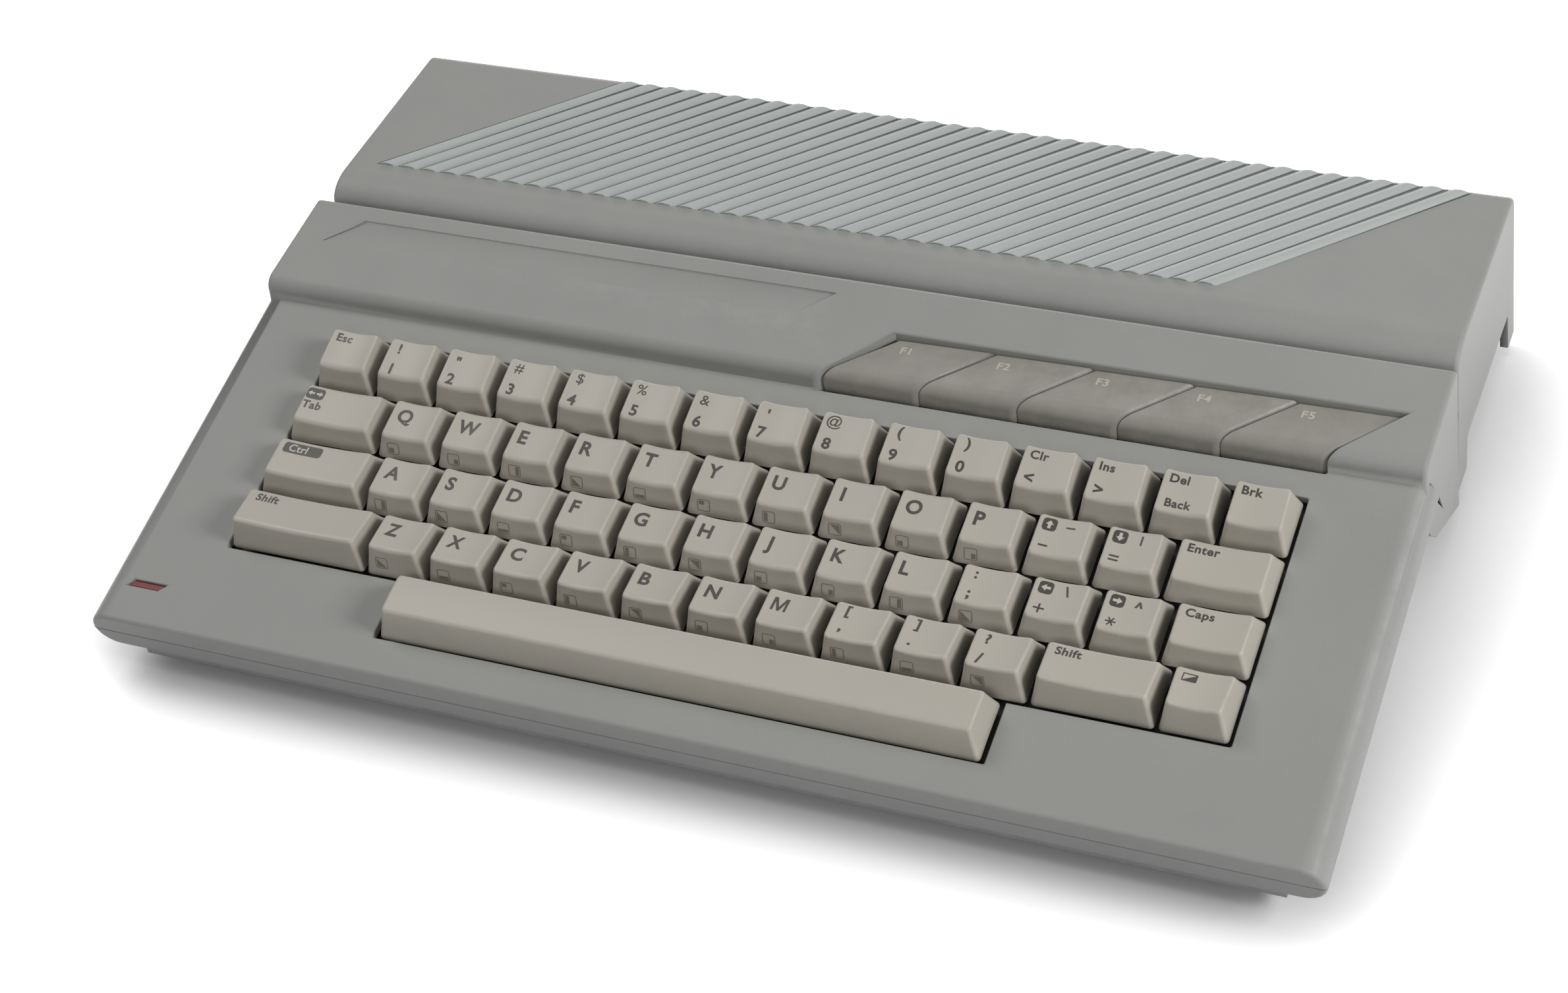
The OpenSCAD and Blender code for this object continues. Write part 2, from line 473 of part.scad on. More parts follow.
// ---------- keys ----------
module cap(row, left, w) {
  x = (left + w / 2 - 7.5) * pitch; hw = w * pitch / 2; hr = row_rear[row]; hf = row_front[row];
  slope = atan2(hr - hf, cap_top_rear - cap_top_front); mid_h = (hr + hf) / 2; mid_s = (cap_top_rear + cap_top_front) / 2;
  dw = hw - cap_inset; dish_r = (dw * dw + dish_deep * dish_deep) / (2 * dish_deep);
  deck() translate([x, row_s[row], 0]) {
    difference() {
      cap_body(hw - cap_gap, hw - cap_inset, cap_deep, cap_top_front, cap_top_rear, hf, hr, cap_base);
      translate([0, mid_s, mid_h]) rotate([slope, 0, 0]) translate([0, 12, dish_r - dish_deep]) rotate([90, 0, 0])
        cylinder(r = dish_r, h = 24, $fn = w > 1.2 ? 480 : 160);
      cap_body(hw - cap_gap - cap_wall, hw - cap_inset - 1.2, cap_deep - cap_wall, cap_top_front + 1.3, cap_top_rear - 1.3,
        hf - 2.2, hr - 2.2, cap_base - 1);
    }
    translate([0, 0, stem_end]) cylinder(r = stem_r, h = (hr + hf) / 2 - 1.6 - stem_end);
  }
}
// four-sided body that narrows to its top
module cap_body(bx, tx, bs, f, r, hf, hr, z0) {
  intersection() {
    across(-bx, bx) polygon([[-bs, z0], [bs, z0], [r, hr], [f, hf]]);
    along(-bs, bs) polygon([[-bx, z0], [bx, z0], [tx, max(hf, hr)], [-tx, max(hf, hr)]]);
  }
}
module one_key(i) color(cap_grey) cap(KEYS[i][1], KEYS[i][2], KEYS[i][3]);
module key_esc() one_key(0);
module key_backspace() one_key(1);
module key_break() one_key(2);
module key_tab() one_key(3);
module key_q() one_key(4);
module key_w() one_key(5);
module key_e() one_key(6);
module key_r() one_key(7);
module key_t() one_key(8);
module key_y() one_key(9);
module key_u() one_key(10);
module key_i() one_key(11);
module key_o() one_key(12);
module key_p() one_key(13);
module key_return() one_key(14);
module key_control() one_key(15);
module key_a() one_key(16);
module key_s() one_key(17);
module key_d() one_key(18);
module key_f() one_key(19);
module key_g() one_key(20);
module key_h() one_key(21);
module key_j() one_key(22);
module key_k() one_key(23);
module key_l() one_key(24);
module key_caps() one_key(25);
module key_shift_left() one_key(26);
module key_z() one_key(27);
module key_x() one_key(28);
module key_c() one_key(29);
module key_v() one_key(30);
module key_b() one_key(31);
module key_n() one_key(32);
module key_m() one_key(33);
module key_shift_right() one_key(34);
module key_inverse() one_key(35);
module keys_numbers() color(cap_grey) for (k = NUMBERS) cap(k[0], k[1], k[2]);
module keys_symbols() color(cap_grey) for (k = SYMBOLS) cap(k[0], k[1], k[2]);
module space_bar() color(cap_grey) {
  hw = space_w * pitch / 2;
  deck() translate([space_x, row_s[4], 0]) {
    difference() {
      cap_body(hw - cap_gap, hw - cap_inset, cap_deep, cap_top_front, cap_top_rear, row_front[4], row_rear[4], cap_base);
      cap_body(hw - cap_gap - cap_wall, hw - cap_inset - 1.2, cap_deep - cap_wall, cap_top_front + 1.3, cap_top_rear - 1.3,
        row_front[4] - 2, row_rear[4] - 2, cap_base - 1);
    }
    for (dx = [-55, 0, 55]) translate([dx, 0, stem_end]) cylinder(r = stem_r, h = row_rear[4] - 1 - stem_end);
  }
}
hinge_y = 24.5; hinge_z = mid_z(hinge_y) - 4.5; hinge_r = 1.2;
// slanted key that wraps over the nose of the middle step
module fkey(i) color(fkey_grey) {
  x0 = fk_x + i * fkey_pitch; x1 = x0 + fkey_pitch + (i == 4 ? 0.6 : 0);
  intersection() {
    across(-60, 180) polygon(concat([[mid_y0 + 0.3, 44.3]], arc(mid_y0 + 0.3 + mid_r, mid_z0 - mid_r + 0.1, mid_r, 180, 97, 8),
      [[fk_y1 + 1, mid_z(fk_y1 + 1) - 0.15], [fk_y1 + 1, mid_z(fk_y1 + 1) - 2.15]],
      arc(mid_y0 + 0.3 + mid_r, mid_z0 - mid_r + 0.1, mid_r - 1.9, 97, 180, 8), [[mid_y0 + 2.2, 44.3]]));
    translate([0, 0, 30]) linear_extrude(height = 40) fkey_plan(x0, x1, fkey_gap / 2);
  }
  // tongue under the step that ends in a hinge rod
  translate([(x0 + x1) / 2 - 12.5, 0, 0]) {
    across(0, 11) polygon([[5, mid_z(5) - 5.2], [5, mid_z(5) - 1.9], [13, mid_z(13) - 1.9], [13, mid_z(13) - 3.8],
      [17.5, hinge_z - 0.05], [20, hinge_z + 0.6], [hinge_y, hinge_z + 0.6], [hinge_y, hinge_z - 0.6],
      [20.6, hinge_z - 0.6], [18, hinge_z - 1.25]]);
    translate([0, hinge_y, hinge_z]) rotate([0, 90, 0]) cylinder(r = hinge_r, h = 11);
  }
}
module fkey_1() fkey(0);
module fkey_2() fkey(1);
module fkey_3() fkey(2);
module fkey_4() fkey(3);
module fkey_5() fkey(4);

top_cover();
bottom_cover();
keyboard_frame();
dome_sheet();
keyboard_backplate();
main_board();
chips();
rf_shield();
din_sockets();
cartridge_slot();
serial_port();
controller_ports();
power_switch();
case_screws();
rubber_feet();
power_light();
key_esc();
key_backspace();
key_break();
key_tab();
key_q();
key_w();
key_e();
key_r();
key_t();
key_y();
key_u();
key_i();
key_o();
key_p();
key_return();
key_control();
key_a();
key_s();
key_d();
key_f();
key_g();
key_h();
key_j();
key_k();
key_l();
key_caps();
key_shift_left();
key_z();
key_x();
key_c();
key_v();
key_b();
key_n();
key_m();
key_shift_right();
key_inverse();
keys_numbers();
keys_symbols();
space_bar();
fkey_1();
fkey_2();
fkey_3();
fkey_4();
fkey_5();
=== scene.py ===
# %% [markdown]
# # A vintage home computer
# This lesson dresses a finished engineering model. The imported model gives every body, joint and plain solid;
# here each visible piece gets its real edges, its print and its finish. Lengths are metres, X runs to the
# right of the typist, Y to the rear and Z up from the table.

# %% Load the engineering model
import math
import bpy, bmesh
from mathutils import Matrix, Vector
from mathutils.bvhtree import BVHTree


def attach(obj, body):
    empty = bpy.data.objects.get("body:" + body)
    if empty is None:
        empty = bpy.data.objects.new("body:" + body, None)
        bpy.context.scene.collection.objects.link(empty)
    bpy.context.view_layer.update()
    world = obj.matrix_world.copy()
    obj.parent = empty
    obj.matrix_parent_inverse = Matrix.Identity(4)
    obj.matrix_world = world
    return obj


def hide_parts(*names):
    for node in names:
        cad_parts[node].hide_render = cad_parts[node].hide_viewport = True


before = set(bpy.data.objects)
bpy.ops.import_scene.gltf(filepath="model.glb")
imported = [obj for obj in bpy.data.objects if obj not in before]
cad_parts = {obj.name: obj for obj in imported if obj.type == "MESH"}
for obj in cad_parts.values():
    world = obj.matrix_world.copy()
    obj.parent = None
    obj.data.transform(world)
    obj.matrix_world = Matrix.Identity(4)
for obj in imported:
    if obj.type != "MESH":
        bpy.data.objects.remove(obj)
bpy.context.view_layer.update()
MM = 0.001

# %% [markdown]
# The camera stands to the right of the typist's head and looks down over the keyboard. Its place is written
# as an eye point and the directions of its right hand and its top, which together make a rotation matrix.

# %% Camera
EYE = Vector((290.6, -570.8, 584.8)) * MM
TO_RIGHT = Vector((0.92263, 0.36598, -0.12175))
TO_TOP = Vector((-0.16556, 0.66088, 0.73201))
SENSOR_WIDTH, FOCAL_LENGTH = 36.0, 69.51

def aim_camera():
    lens = bpy.data.cameras.new("desk_camera")
    lens.sensor_width, lens.lens = SENSOR_WIDTH, FOCAL_LENGTH
    lens.clip_start, lens.clip_end = 0.01, 20.0
    camera = bpy.data.objects.new("desk_camera", lens)
    bpy.context.scene.collection.objects.link(camera)
    right = TO_RIGHT.normalized()
    back = right.cross(TO_TOP).normalized()
    top = back.cross(right)
    turn = Matrix((right, top, back)).transposed().to_4x4()
    camera.matrix_world = Matrix.Translation(EYE) @ turn
    bpy.context.scene.camera = camera
    print("camera", [round(v, 3) for v in EYE])

aim_camera()

# %% [markdown]
# A product studio with four broad lamps. The one from the right draws the bright line along every right-hand
# edge, one overhead fills the tops, and weaker ones from the front and the rear keep those faces readable. A dim
# world fills the rest. The floor is a real plane, so the object keeps its shadow; Light Path lets the camera,
# mirrors and glass see world and floor almost white, while bounced light sees their plain level. Near the object
# that white glow of the floor fades with ambient occlusion, a painted contact shadow.

# %% Studio
WORLD_FILL = 0.10
FLOOR_HALF, FLOOR_LIFT = 3.0, 1.25
PAINTED_SHADOW_REACH, PAINTED_SHADOW_POWER = 0.06, 3.6      # how far the floor looks for the object, and how quickly it darkens

def softbox(name, place, target, size, watts):
    lamp = bpy.data.lights.new(name, "AREA")
    lamp.shape, lamp.size, lamp.size_y = "RECTANGLE", size[0], size[1]
    lamp.energy = watts
    box = bpy.data.objects.new(name, lamp)
    bpy.context.scene.collection.objects.link(box)
    box.location = place
    box.rotation_euler = (Vector(target) - Vector(place)).to_track_quat("-Z", "Y").to_euler()

def seen_directly(nodes, links):
    """1 for camera, glossy and transmission rays, 0 for the light that bounces"""
    path = nodes.new("ShaderNodeLightPath")
    seen = path.outputs["Is Camera Ray"]
    for ray in ("Is Glossy Ray", "Is Transmission Ray"):
        either = nodes.new("ShaderNodeMath")
        either.operation = "MAXIMUM"
        links.new(seen, either.inputs[0])
        links.new(path.outputs[ray], either.inputs[1])
        seen = either.outputs[0]
    return seen

def build_world(fill):
    world = bpy.data.worlds.new("studio")
    bpy.context.scene.world = world
    world.use_nodes = True
    tree = world.node_tree
    soft = tree.nodes["Background"]
    soft.inputs["Color"].default_value = (1, 1, 1, 1)
    soft.inputs["Strength"].default_value = fill
    white = tree.nodes.new("ShaderNodeBackground")
    white.inputs["Color"].default_value = (1, 1, 1, 1)
    mix = tree.nodes.new("ShaderNodeMixShader")
    tree.links.new(seen_directly(tree.nodes, tree.links), mix.inputs[0])
    tree.links.new(soft.outputs[0], mix.inputs[1])
    tree.links.new(white.outputs[0], mix.inputs[2])
    tree.links.new(mix.outputs[0], tree.nodes["World Output"].inputs["Surface"])

def build_floor(half, lift):
    mesh = bpy.data.meshes.new("floor")
    corners = [(-half, -half, 0), (half, -half, 0), (half, half, 0), (-half, half, 0)]
    mesh.from_pydata(corners, [], [(0, 1, 2, 3)])
    floor = bpy.data.objects.new("floor", mesh)
    bpy.context.scene.collection.objects.link(floor)
    paper = bpy.data.materials.new("paper_floor")
    paper.use_nodes = True
    nodes, links = paper.node_tree.nodes, paper.node_tree.links
    shader = nodes["Principled BSDF"]
    shader.inputs["Base Color"].default_value = (0.82, 0.82, 0.82, 1)
    shader.inputs["Roughness"].default_value = 0.9
    shader.inputs["Specular IOR Level"].default_value = 0.0
    shader.inputs["Emission Color"].default_value = (1, 1, 1, 1)
    # painted contact shadow: the floor's white glow is scaled by ambient occlusion, so it fades to dark close to
    # the object
    open_sky = nodes.new("ShaderNodeAmbientOcclusion")
    open_sky.inputs["Distance"].default_value = PAINTED_SHADOW_REACH
    level = open_sky.outputs["AO"]
    for operation, value in (("POWER", PAINTED_SHADOW_POWER), ("MULTIPLY", lift)):
        step = nodes.new("ShaderNodeMath")
        step.operation = operation
        step.inputs[1].default_value = value
        links.new(level, step.inputs[0])
        level = step.outputs[0]
    shown = nodes.new("ShaderNodeMath")
    shown.operation = "MULTIPLY"
    links.new(level, shown.inputs[0])
    links.new(seen_directly(nodes, links), shown.inputs[1])
    links.new(shown.outputs[0], shader.inputs["Emission Strength"])
    mesh.materials.append(paper)

softbox("overhead_softbox", (-0.62, 0.12, 0.98), (0.0, -0.04, 0.03), (0.5, 0.5), 3.8)
softbox("right_softbox", (1.00, -0.15, 0.66), (0.0, 0.0, 0.03), (0.4, 0.4), 7.8)
softbox("front_softbox", (0.30, -0.95, 0.80), (0.0, -0.05, 0.03), (0.5, 0.4), 2.1)
softbox("rear_softbox", (-0.35, 1.25, 0.38), (0.0, 0.1, 0.02), (0.5, 0.3), 3.0)
build_world(WORLD_FILL)
build_floor(FLOOR_HALF, FLOOR_LIFT)
bpy.context.scene.view_settings.view_transform = "Standard"

# %% [markdown]
# Moulded plastic is never one flat colour. Four small effects are shared by the finishes, so each is a shader
# node group: a fine mould grain, a paler tone on sharp edges that is scuffing on the case and, turned up on the
# keys, a painted highlight, dust that settles on what faces up, and a painted shade that darkens narrow gaps,
# such as those between two keycaps. A group hands out values only; the Principled BSDF stays in each material.

# %% Shared effects
def new_group(name, takes, gives):
    group = bpy.data.node_groups.new(name, "ShaderNodeTree")
    for label, kind, value in takes:
        socket = group.interface.new_socket(name=label, in_out="INPUT", socket_type=kind)
        socket.default_value = value
    for label, kind in gives:
        group.interface.new_socket(name=label, in_out="OUTPUT", socket_type=kind)
    return group, group.nodes.new("NodeGroupInput"), group.nodes.new("NodeGroupOutput")

def math_node(tree, operation, *feeds, clamp=False):
    node = tree.nodes.new("ShaderNodeMath")
    node.operation, node.use_clamp = operation, clamp
    for slot, feed in enumerate(feeds):
        if isinstance(feed, (int, float)):
            node.inputs[slot].default_value = feed
        else:
            tree.links.new(feed, node.inputs[slot])
    return node.outputs[0]

def noise_node(tree, scale, detail=2.0, rough=0.5):
    place = tree.nodes.new("ShaderNodeTexCoord")
    noise = tree.nodes.new("ShaderNodeTexNoise")
    noise.inputs["Detail"].default_value = detail
    noise.inputs["Roughness"].default_value = rough
    tree.links.new(place.outputs["Object"], noise.inputs["Vector"])
    if isinstance(scale, (int, float)):
        noise.inputs["Scale"].default_value = scale
    else:
        tree.links.new(scale, noise.inputs["Scale"])
    return noise.outputs["Fac"]

FINE_GRAIN, CLOUD_GRAIN, WEAR_AND_HIGHLIGHT_GRAIN, DUST_GRAIN = 2600.0, 22.0, 140.0, 65.0    # noise scales, per metre
GAP_REACH, GAP_START, GAP_GAIN = 0.0042, 0.27, 1.8

def build_grain():
    tree, take, give = new_group("mould_grain",
        [("Scale", "NodeSocketFloat", FINE_GRAIN), ("Cloud Scale", "NodeSocketFloat", CLOUD_GRAIN)],
        [("Height", "NodeSocketFloat"), ("Tone", "NodeSocketFloat")])
    fine = noise_node(tree, take.outputs["Scale"], 3.0, 0.6)
    cloud = noise_node(tree, take.outputs["Cloud Scale"], 3.0, 0.55)
    tree.links.new(fine, give.inputs["Height"])
    fine_share = math_node(tree, "MULTIPLY", fine, 0.45)
    cloud_share = math_node(tree, "MULTIPLY", cloud, 0.55)
    tree.links.new(math_node(tree, "ADD", fine_share, cloud_share), give.inputs["Tone"])
    return tree

# edge mask: a paler tone on sharp edges, scuffing on the case; where a finish turns the amount up it is a painted
# highlight
def build_wear_and_highlight():
    tree, take, give = new_group("edge_scuffs_and_highlight",
        [("Amount", "NodeSocketFloat", 0.5), ("Scale", "NodeSocketFloat", WEAR_AND_HIGHLIGHT_GRAIN)],
        [("Mask", "NodeSocketFloat")])
    shape = tree.nodes.new("ShaderNodeNewGeometry")
    sharp = math_node(tree, "SUBTRACT", shape.outputs["Pointiness"], 0.51)
    ridge = math_node(tree, "MULTIPLY", sharp, 12.0, clamp=True)
    patchy = math_node(tree, "SUBTRACT", noise_node(tree, take.outputs["Scale"], 4.0, 0.65), 0.36)
    broken = math_node(tree, "MULTIPLY", patchy, 3.0, clamp=True)
    both = math_node(tree, "MULTIPLY", ridge, broken)
    tree.links.new(math_node(tree, "MULTIPLY", both, take.outputs["Amount"], clamp=True), give.inputs["Mask"])
    return tree

def build_dust():
    tree, take, give = new_group("settled_dust",
        [("Amount", "NodeSocketFloat", 0.2)], [("Mask", "NodeSocketFloat")])
    shape = tree.nodes.new("ShaderNodeNewGeometry")
    split = tree.nodes.new("ShaderNodeSeparateXYZ")
    tree.links.new(shape.outputs["Normal"], split.inputs[0])
    up = math_node(tree, "POWER", math_node(tree, "MAXIMUM", split.outputs["Z"], 0.0), 3.0)
    patches = math_node(tree, "MULTIPLY", noise_node(tree, DUST_GRAIN, 6.0, 0.7), up)
    tree.links.new(math_node(tree, "MULTIPLY", patches, take.outputs["Amount"], clamp=True), give.inputs["Mask"])
    return tree

# painted shade: a point turns darker the more closely other surfaces stand round it, as in the gaps between keycaps
def build_painted_gap_shade():
    tree, take, give = new_group("gap_painted_shade",
        [("Amount", "NodeSocketFloat", 0.6), ("Reach", "NodeSocketFloat", GAP_REACH),
         ("Start", "NodeSocketFloat", GAP_START)],
        [("Mask", "NodeSocketFloat")])
    nearby = tree.nodes.new("ShaderNodeAmbientOcclusion")
    nearby.samples = 8
    tree.links.new(take.outputs["Reach"], nearby.inputs["Distance"])
    closed = math_node(tree, "SUBTRACT", 1.0, nearby.outputs["AO"])
    past_start = math_node(tree, "SUBTRACT", closed, take.outputs["Start"])
    deep = math_node(tree, "MULTIPLY", past_start, GAP_GAIN, clamp=True)
    tree.links.new(math_node(tree, "MULTIPLY", deep, take.outputs["Amount"], clamp=True), give.inputs["Mask"])
    return tree

GRAIN, WEAR_AND_HIGHLIGHT, DUST, PAINTED_GAP_SHADE = build_grain(), build_wear_and_highlight(), build_dust(), build_painted_gap_shade()
print("groups", [g.name for g in bpy.data.node_groups])

# %% [markdown]
# Each finish starts from its own colour. The grain moves that colour a little up and down and gives the bump,
# the edge mask mixes in a paler tone on sharp edges (scuffing, and a painted highlight where it is turned up), dust
# lays a dry grey on top, and where a finish asks for it a painted shade turns its narrow gaps dark. Colours are
# written as they look on a screen and turned into the linear numbers that Blender works with.

# %% Finishes
DUST_COLOUR = (188, 184, 174)
# the pale edge tone is scuffing and painted highlight; the dark gap tone is painted shade
WEAR_AND_HIGHLIGHT_GAIN, GAP_SHADE_GAIN = 1.25, 0.3           # the tones of rubbed edges and of dark gaps, as shares of the colour

def linear(*rgb):
    return tuple((c / 255 / 12.92) if c <= 10 else ((c / 255 + 0.055) / 1.055) ** 2.4 for c in rgb) + (1.0,)

def place_group(tree, group, **values):
    node = tree.nodes.new("ShaderNodeGroup")
    node.node_tree = group
    for label, value in values.items():
        node.inputs[label.replace("_", " ")].default_value = value
    return node

def mix_colour(tree, mask, low, high):
    mix = tree.nodes.new("ShaderNodeMix")
    mix.data_type = "RGBA"
    for socket, feed in ((mix.inputs["Factor"], mask), (mix.inputs["A"], low), (mix.inputs["B"], high)):
        if isinstance(feed, (float, tuple)):
            socket.default_value = feed
        else:
            tree.links.new(feed, socket)
    return mix.outputs["Result"]

def shade(rgb, gain):
    return linear(*[min(255, max(0, c * gain)) for c in rgb])

def plastic(name, rgb, rough=0.5, spread=0.03, worn_and_highlit=0.3, dust=0.12, grain=FINE_GRAIN, bump=0.06,
            specular=0.5, metal=0.0, coat=0.0, gap_shade=0.0, gap_shade_start=GAP_START):
    finish = bpy.data.materials.new(name)
    finish.use_nodes = True
    tree = finish.node_tree
    shader = tree.nodes["Principled BSDF"]
    texture = place_group(tree, GRAIN, Scale=grain)
    wear_and_highlight_node = place_group(tree, WEAR_AND_HIGHLIGHT, Amount=worn_and_highlit)
    settled = place_group(tree, DUST, Amount=dust)
    swing = math_node(tree, "MULTIPLY", math_node(tree, "SUBTRACT", texture.outputs["Tone"], 0.5), 2.2)
    tone = math_node(tree, "ADD", swing, 0.5, clamp=True)
    body = mix_colour(tree, tone, shade(rgb, 1 - spread), shade(rgb, 1 + spread))
    # paler sharp edges: scuffing and, where the amount is high, a painted highlight
    rubbed_and_highlit = mix_colour(tree, wear_and_highlight_node.outputs["Mask"], body, shade(rgb, WEAR_AND_HIGHLIGHT_GAIN))
    dust_and_painted_light = mix_colour(tree, settled.outputs["Mask"], rubbed_and_highlit, linear(*DUST_COLOUR))
    # painted shade: narrow gaps and the lower sides of keys turn dark
    if gap_shade:
        gaps = place_group(tree, PAINTED_GAP_SHADE, Amount=gap_shade, Start=gap_shade_start)
        dust_and_painted_light = mix_colour(tree, gaps.outputs["Mask"], dust_and_painted_light, shade(rgb, GAP_SHADE_GAIN))
    tree.links.new(dust_and_painted_light, shader.inputs["Base Color"])
    sway = math_node(tree, "MULTIPLY", math_node(tree, "SUBTRACT", tone, 0.5), 0.14)
    dull = math_node(tree, "ADD", sway, rough)
    shine = math_node(tree, "MULTIPLY", wear_and_highlight_node.outputs["Mask"], 0.2)
    polished = math_node(tree, "SUBTRACT", dull, shine, clamp=True)
    tree.links.new(polished, shader.inputs["Roughness"])
    relief = tree.nodes.new("ShaderNodeBump")
    relief.inputs["Strength"].default_value = bump
    relief.inputs["Distance"].default_value = 0.0002
    tree.links.new(texture.outputs["Height"], relief.inputs["Height"])
    tree.links.new(relief.outputs["Normal"], shader.inputs["Normal"])
    shader.inputs["Specular IOR Level"].default_value = specular
    shader.inputs["Metallic"].default_value = metal
    if coat:
        shader.inputs["Coat Weight"].default_value = coat
        shader.inputs["Coat Roughness"].default_value = 0.12
    return finish

CASE = plastic("case_grey", (155, 156, 153), rough=0.5, spread=0.035, worn_and_highlit=0.2, bump=0.10, specular=0.25)
CASE_LOW = plastic("lower_case_grey", (152, 153, 152), rough=0.52, spread=0.035, worn_and_highlit=0.25, bump=0.10,
                   specular=0.25)
# painted shade darkens the valleys between the ribs and the gaps round keycaps and function keys
RIB = plastic("rib_grey", (184, 189, 187), rough=0.44, spread=0.03, worn_and_highlit=0.15, bump=0.06, specular=0.35,
              gap_shade=0.7, gap_shade_start=0.08)
# on keycaps and function keys the pale edge tone is turned up into a painted highlight along their edges
CAP = plastic("keycap_grey", (187, 182, 171), rough=0.4, spread=0.02, worn_and_highlit=0.6, grain=3400.0, bump=0.05,
              specular=0.35, gap_shade=0.85)
FKEY = plastic("function_key_grey", (146, 143, 136), rough=0.5, spread=0.02, worn_and_highlit=0.8, grain=3000.0, bump=0.07,
               specular=0.3, gap_shade=0.5)

def ink(name, rgb, spread):
    return plastic(name, rgb, rough=0.45, spread=spread, worn_and_highlit=0.0, dust=0.05, bump=0.03)

INK = ink("key_print", (46, 43, 38), 0.05)
PALE_INK = ink("front_symbol_print", (126, 122, 113), 0.04)
LIGHT_INK = ink("function_print", (196, 193, 182), 0.04)
BLACK = plastic("black_moulding", (34, 34, 35), rough=0.55, spread=0.08, worn_and_highlit=0.4, dust=0.06, bump=0.1)
LENS = plastic("red_lens", (112, 10, 10), rough=0.3, spread=0.1, worn_and_highlit=0.0, dust=0.0, bump=0.02, specular=0.2)
STEEL = plastic("plated_steel", (190, 190, 184), rough=0.32, spread=0.05, worn_and_highlit=0.0, dust=0.03, bump=0.05, metal=1.0)
BOARD = plastic("solder_mask", (32, 84, 46), rough=0.3, spread=0.1, worn_and_highlit=0.1, dust=0.08, bump=0.05, coat=0.3)
CHIP = plastic("chip_epoxy", (38, 38, 40), rough=0.6, spread=0.08, worn_and_highlit=0.1, dust=0.08, bump=0.1)
FOOT = plastic("foot_rubber", (44, 43, 42), rough=0.85, spread=0.06, worn_and_highlit=0.1, dust=0.15, bump=0.15)
DOME = plastic("dome_silicone", (204, 202, 190), rough=0.55, spread=0.03, worn_and_highlit=0.0, dust=0.05, bump=0.04)
BADGE_INK = ink("badge_sign", (196, 191, 180), 0.03)
GOLD = plastic("contact_gold", (212, 175, 96), rough=0.28, spread=0.04, worn_and_highlit=0.0, dust=0.0, bump=0.02, metal=1.0)
print("finishes", len(bpy.data.materials))

# %% [markdown]
# The case came from the mould with soft edges, while the engineering solids have sharp ones. A copy of the solid
# can be bevelled instead of drawn again: its flat faces are joined, each sharp edge that the eye meets gets a
# weight, and the Bevel modifier rounds it by that share of the full width. Hidden edges keep weight 0.

# %% Copy a solid with soft edges
SAME_POINT, SAME_PLANE = 1e-6, math.radians(0.6)
SHARP_EDGE = 24.0                               # degrees; flatter edges belong to a curve and stay as they are

def joined_copy(node):
    work = bmesh.new()
    work.from_mesh(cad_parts[node].data)
    bmesh.ops.remove_doubles(work, verts=work.verts, dist=SAME_POINT)
    bmesh.ops.dissolve_limit(work, angle_limit=SAME_PLANE, verts=work.verts, edges=work.edges)
    return work

def finish_piece(work, name, body, finishes, node, width=0.0, segments=3, smooth=40.0, flat=None):
    """turns the work into an object; flat is a direction whose faces are left without smoothing"""
    mesh = bpy.data.meshes.new(name)
    work.to_mesh(mesh)
    work.free()
    piece = bpy.data.objects.new(name, mesh)
    bpy.context.scene.collection.objects.link(piece)
    for finish in finishes:
        mesh.materials.append(finish)
    for face in mesh.polygons:
        face.use_smooth = flat is None or abs(face.normal.dot(flat)) < 0.99
    mesh.set_sharp_from_angle(angle=math.radians(smooth))
    if width:
        soften = piece.modifiers.new("soft_edges", "BEVEL")
        soften.width, soften.segments = width * MM, segments
        soften.limit_method = "WEIGHT"
        soften.use_clamp_overlap = False
        soften.harden_normals = False
    if flat is None:
        flatten = piece.modifiers.new("flat_faces_stay_flat", "WEIGHTED_NORMAL")
        flatten.weight, flatten.keep_sharp = 100, True
    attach(piece, body)
    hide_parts(node)

def weigh_edges(work, rule):
    """asks the rule for a width share for each sharp edge: middle point in mm, signed angle, both normals"""
    layer = work.edges.layers.float.new("bevel_weight_edge")
    marked = 0
    for edge in work.edges:
        if len(edge.link_faces) != 2:
            continue
        angle = math.degrees(edge.calc_face_angle_signed(0.0))
        if abs(angle) < SHARP_EDGE:
            continue
        middle = (edge.verts[0].co + edge.verts[1].co) / 2 / MM
        share = rule(middle, angle, edge.link_faces[0].normal, edge.link_faces[1].normal)
        if share:
            edge[layer] = share
            marked += 1
    return marked

# %% [markdown]
# The keyboard deck leans back by 11 degrees. Everything on it is easier to place in its own frame: x across,
# s up the slope and h off its face.

# %% Deck frame
LEAN, DECK_Y, DECK_Z = math.radians(11), -75, 31
DECK = Matrix.Translation((0, DECK_Y * MM, DECK_Z * MM)) @ Matrix.Rotation(LEAN, 4, "X")
DECK_NORMAL = Vector((0, -math.sin(LEAN), math.cos(LEAN)))

def deck_place(point_mm):
    """an object point in millimetres given back in the deck frame"""
    return (DECK.inverted() @ (point_mm * MM)) / MM

# %% [markdown]
# The top cover is one moulding: deck, middle step, valley and ribbed rear step. Its outside corners are the
# widest, about a millimetre and a half; the mouths of the openings are crisper. The ribs are part of the same
# moulding but were painted paler, so their faces take a second finish.

# %% Top cover
DECK_EDGE, UPPER_PARTING, LOWER_PARTING = -39.9, -6.7, -6.95    # in the deck frame
REAR_TOP, SIDE_X, CASE_BEVEL = 56.6, 170, 1.5
SLANT = Vector((1, -0.95, 0)).normalized()                      # square to the slanted ends of the function keys
RIB_ANGLE = math.radians(46.4)
RIB_LEFT, RIB_RIGHT, RIB_FRONT, RIB_BACK = -161.6, 101.4, 54.3, 109.6

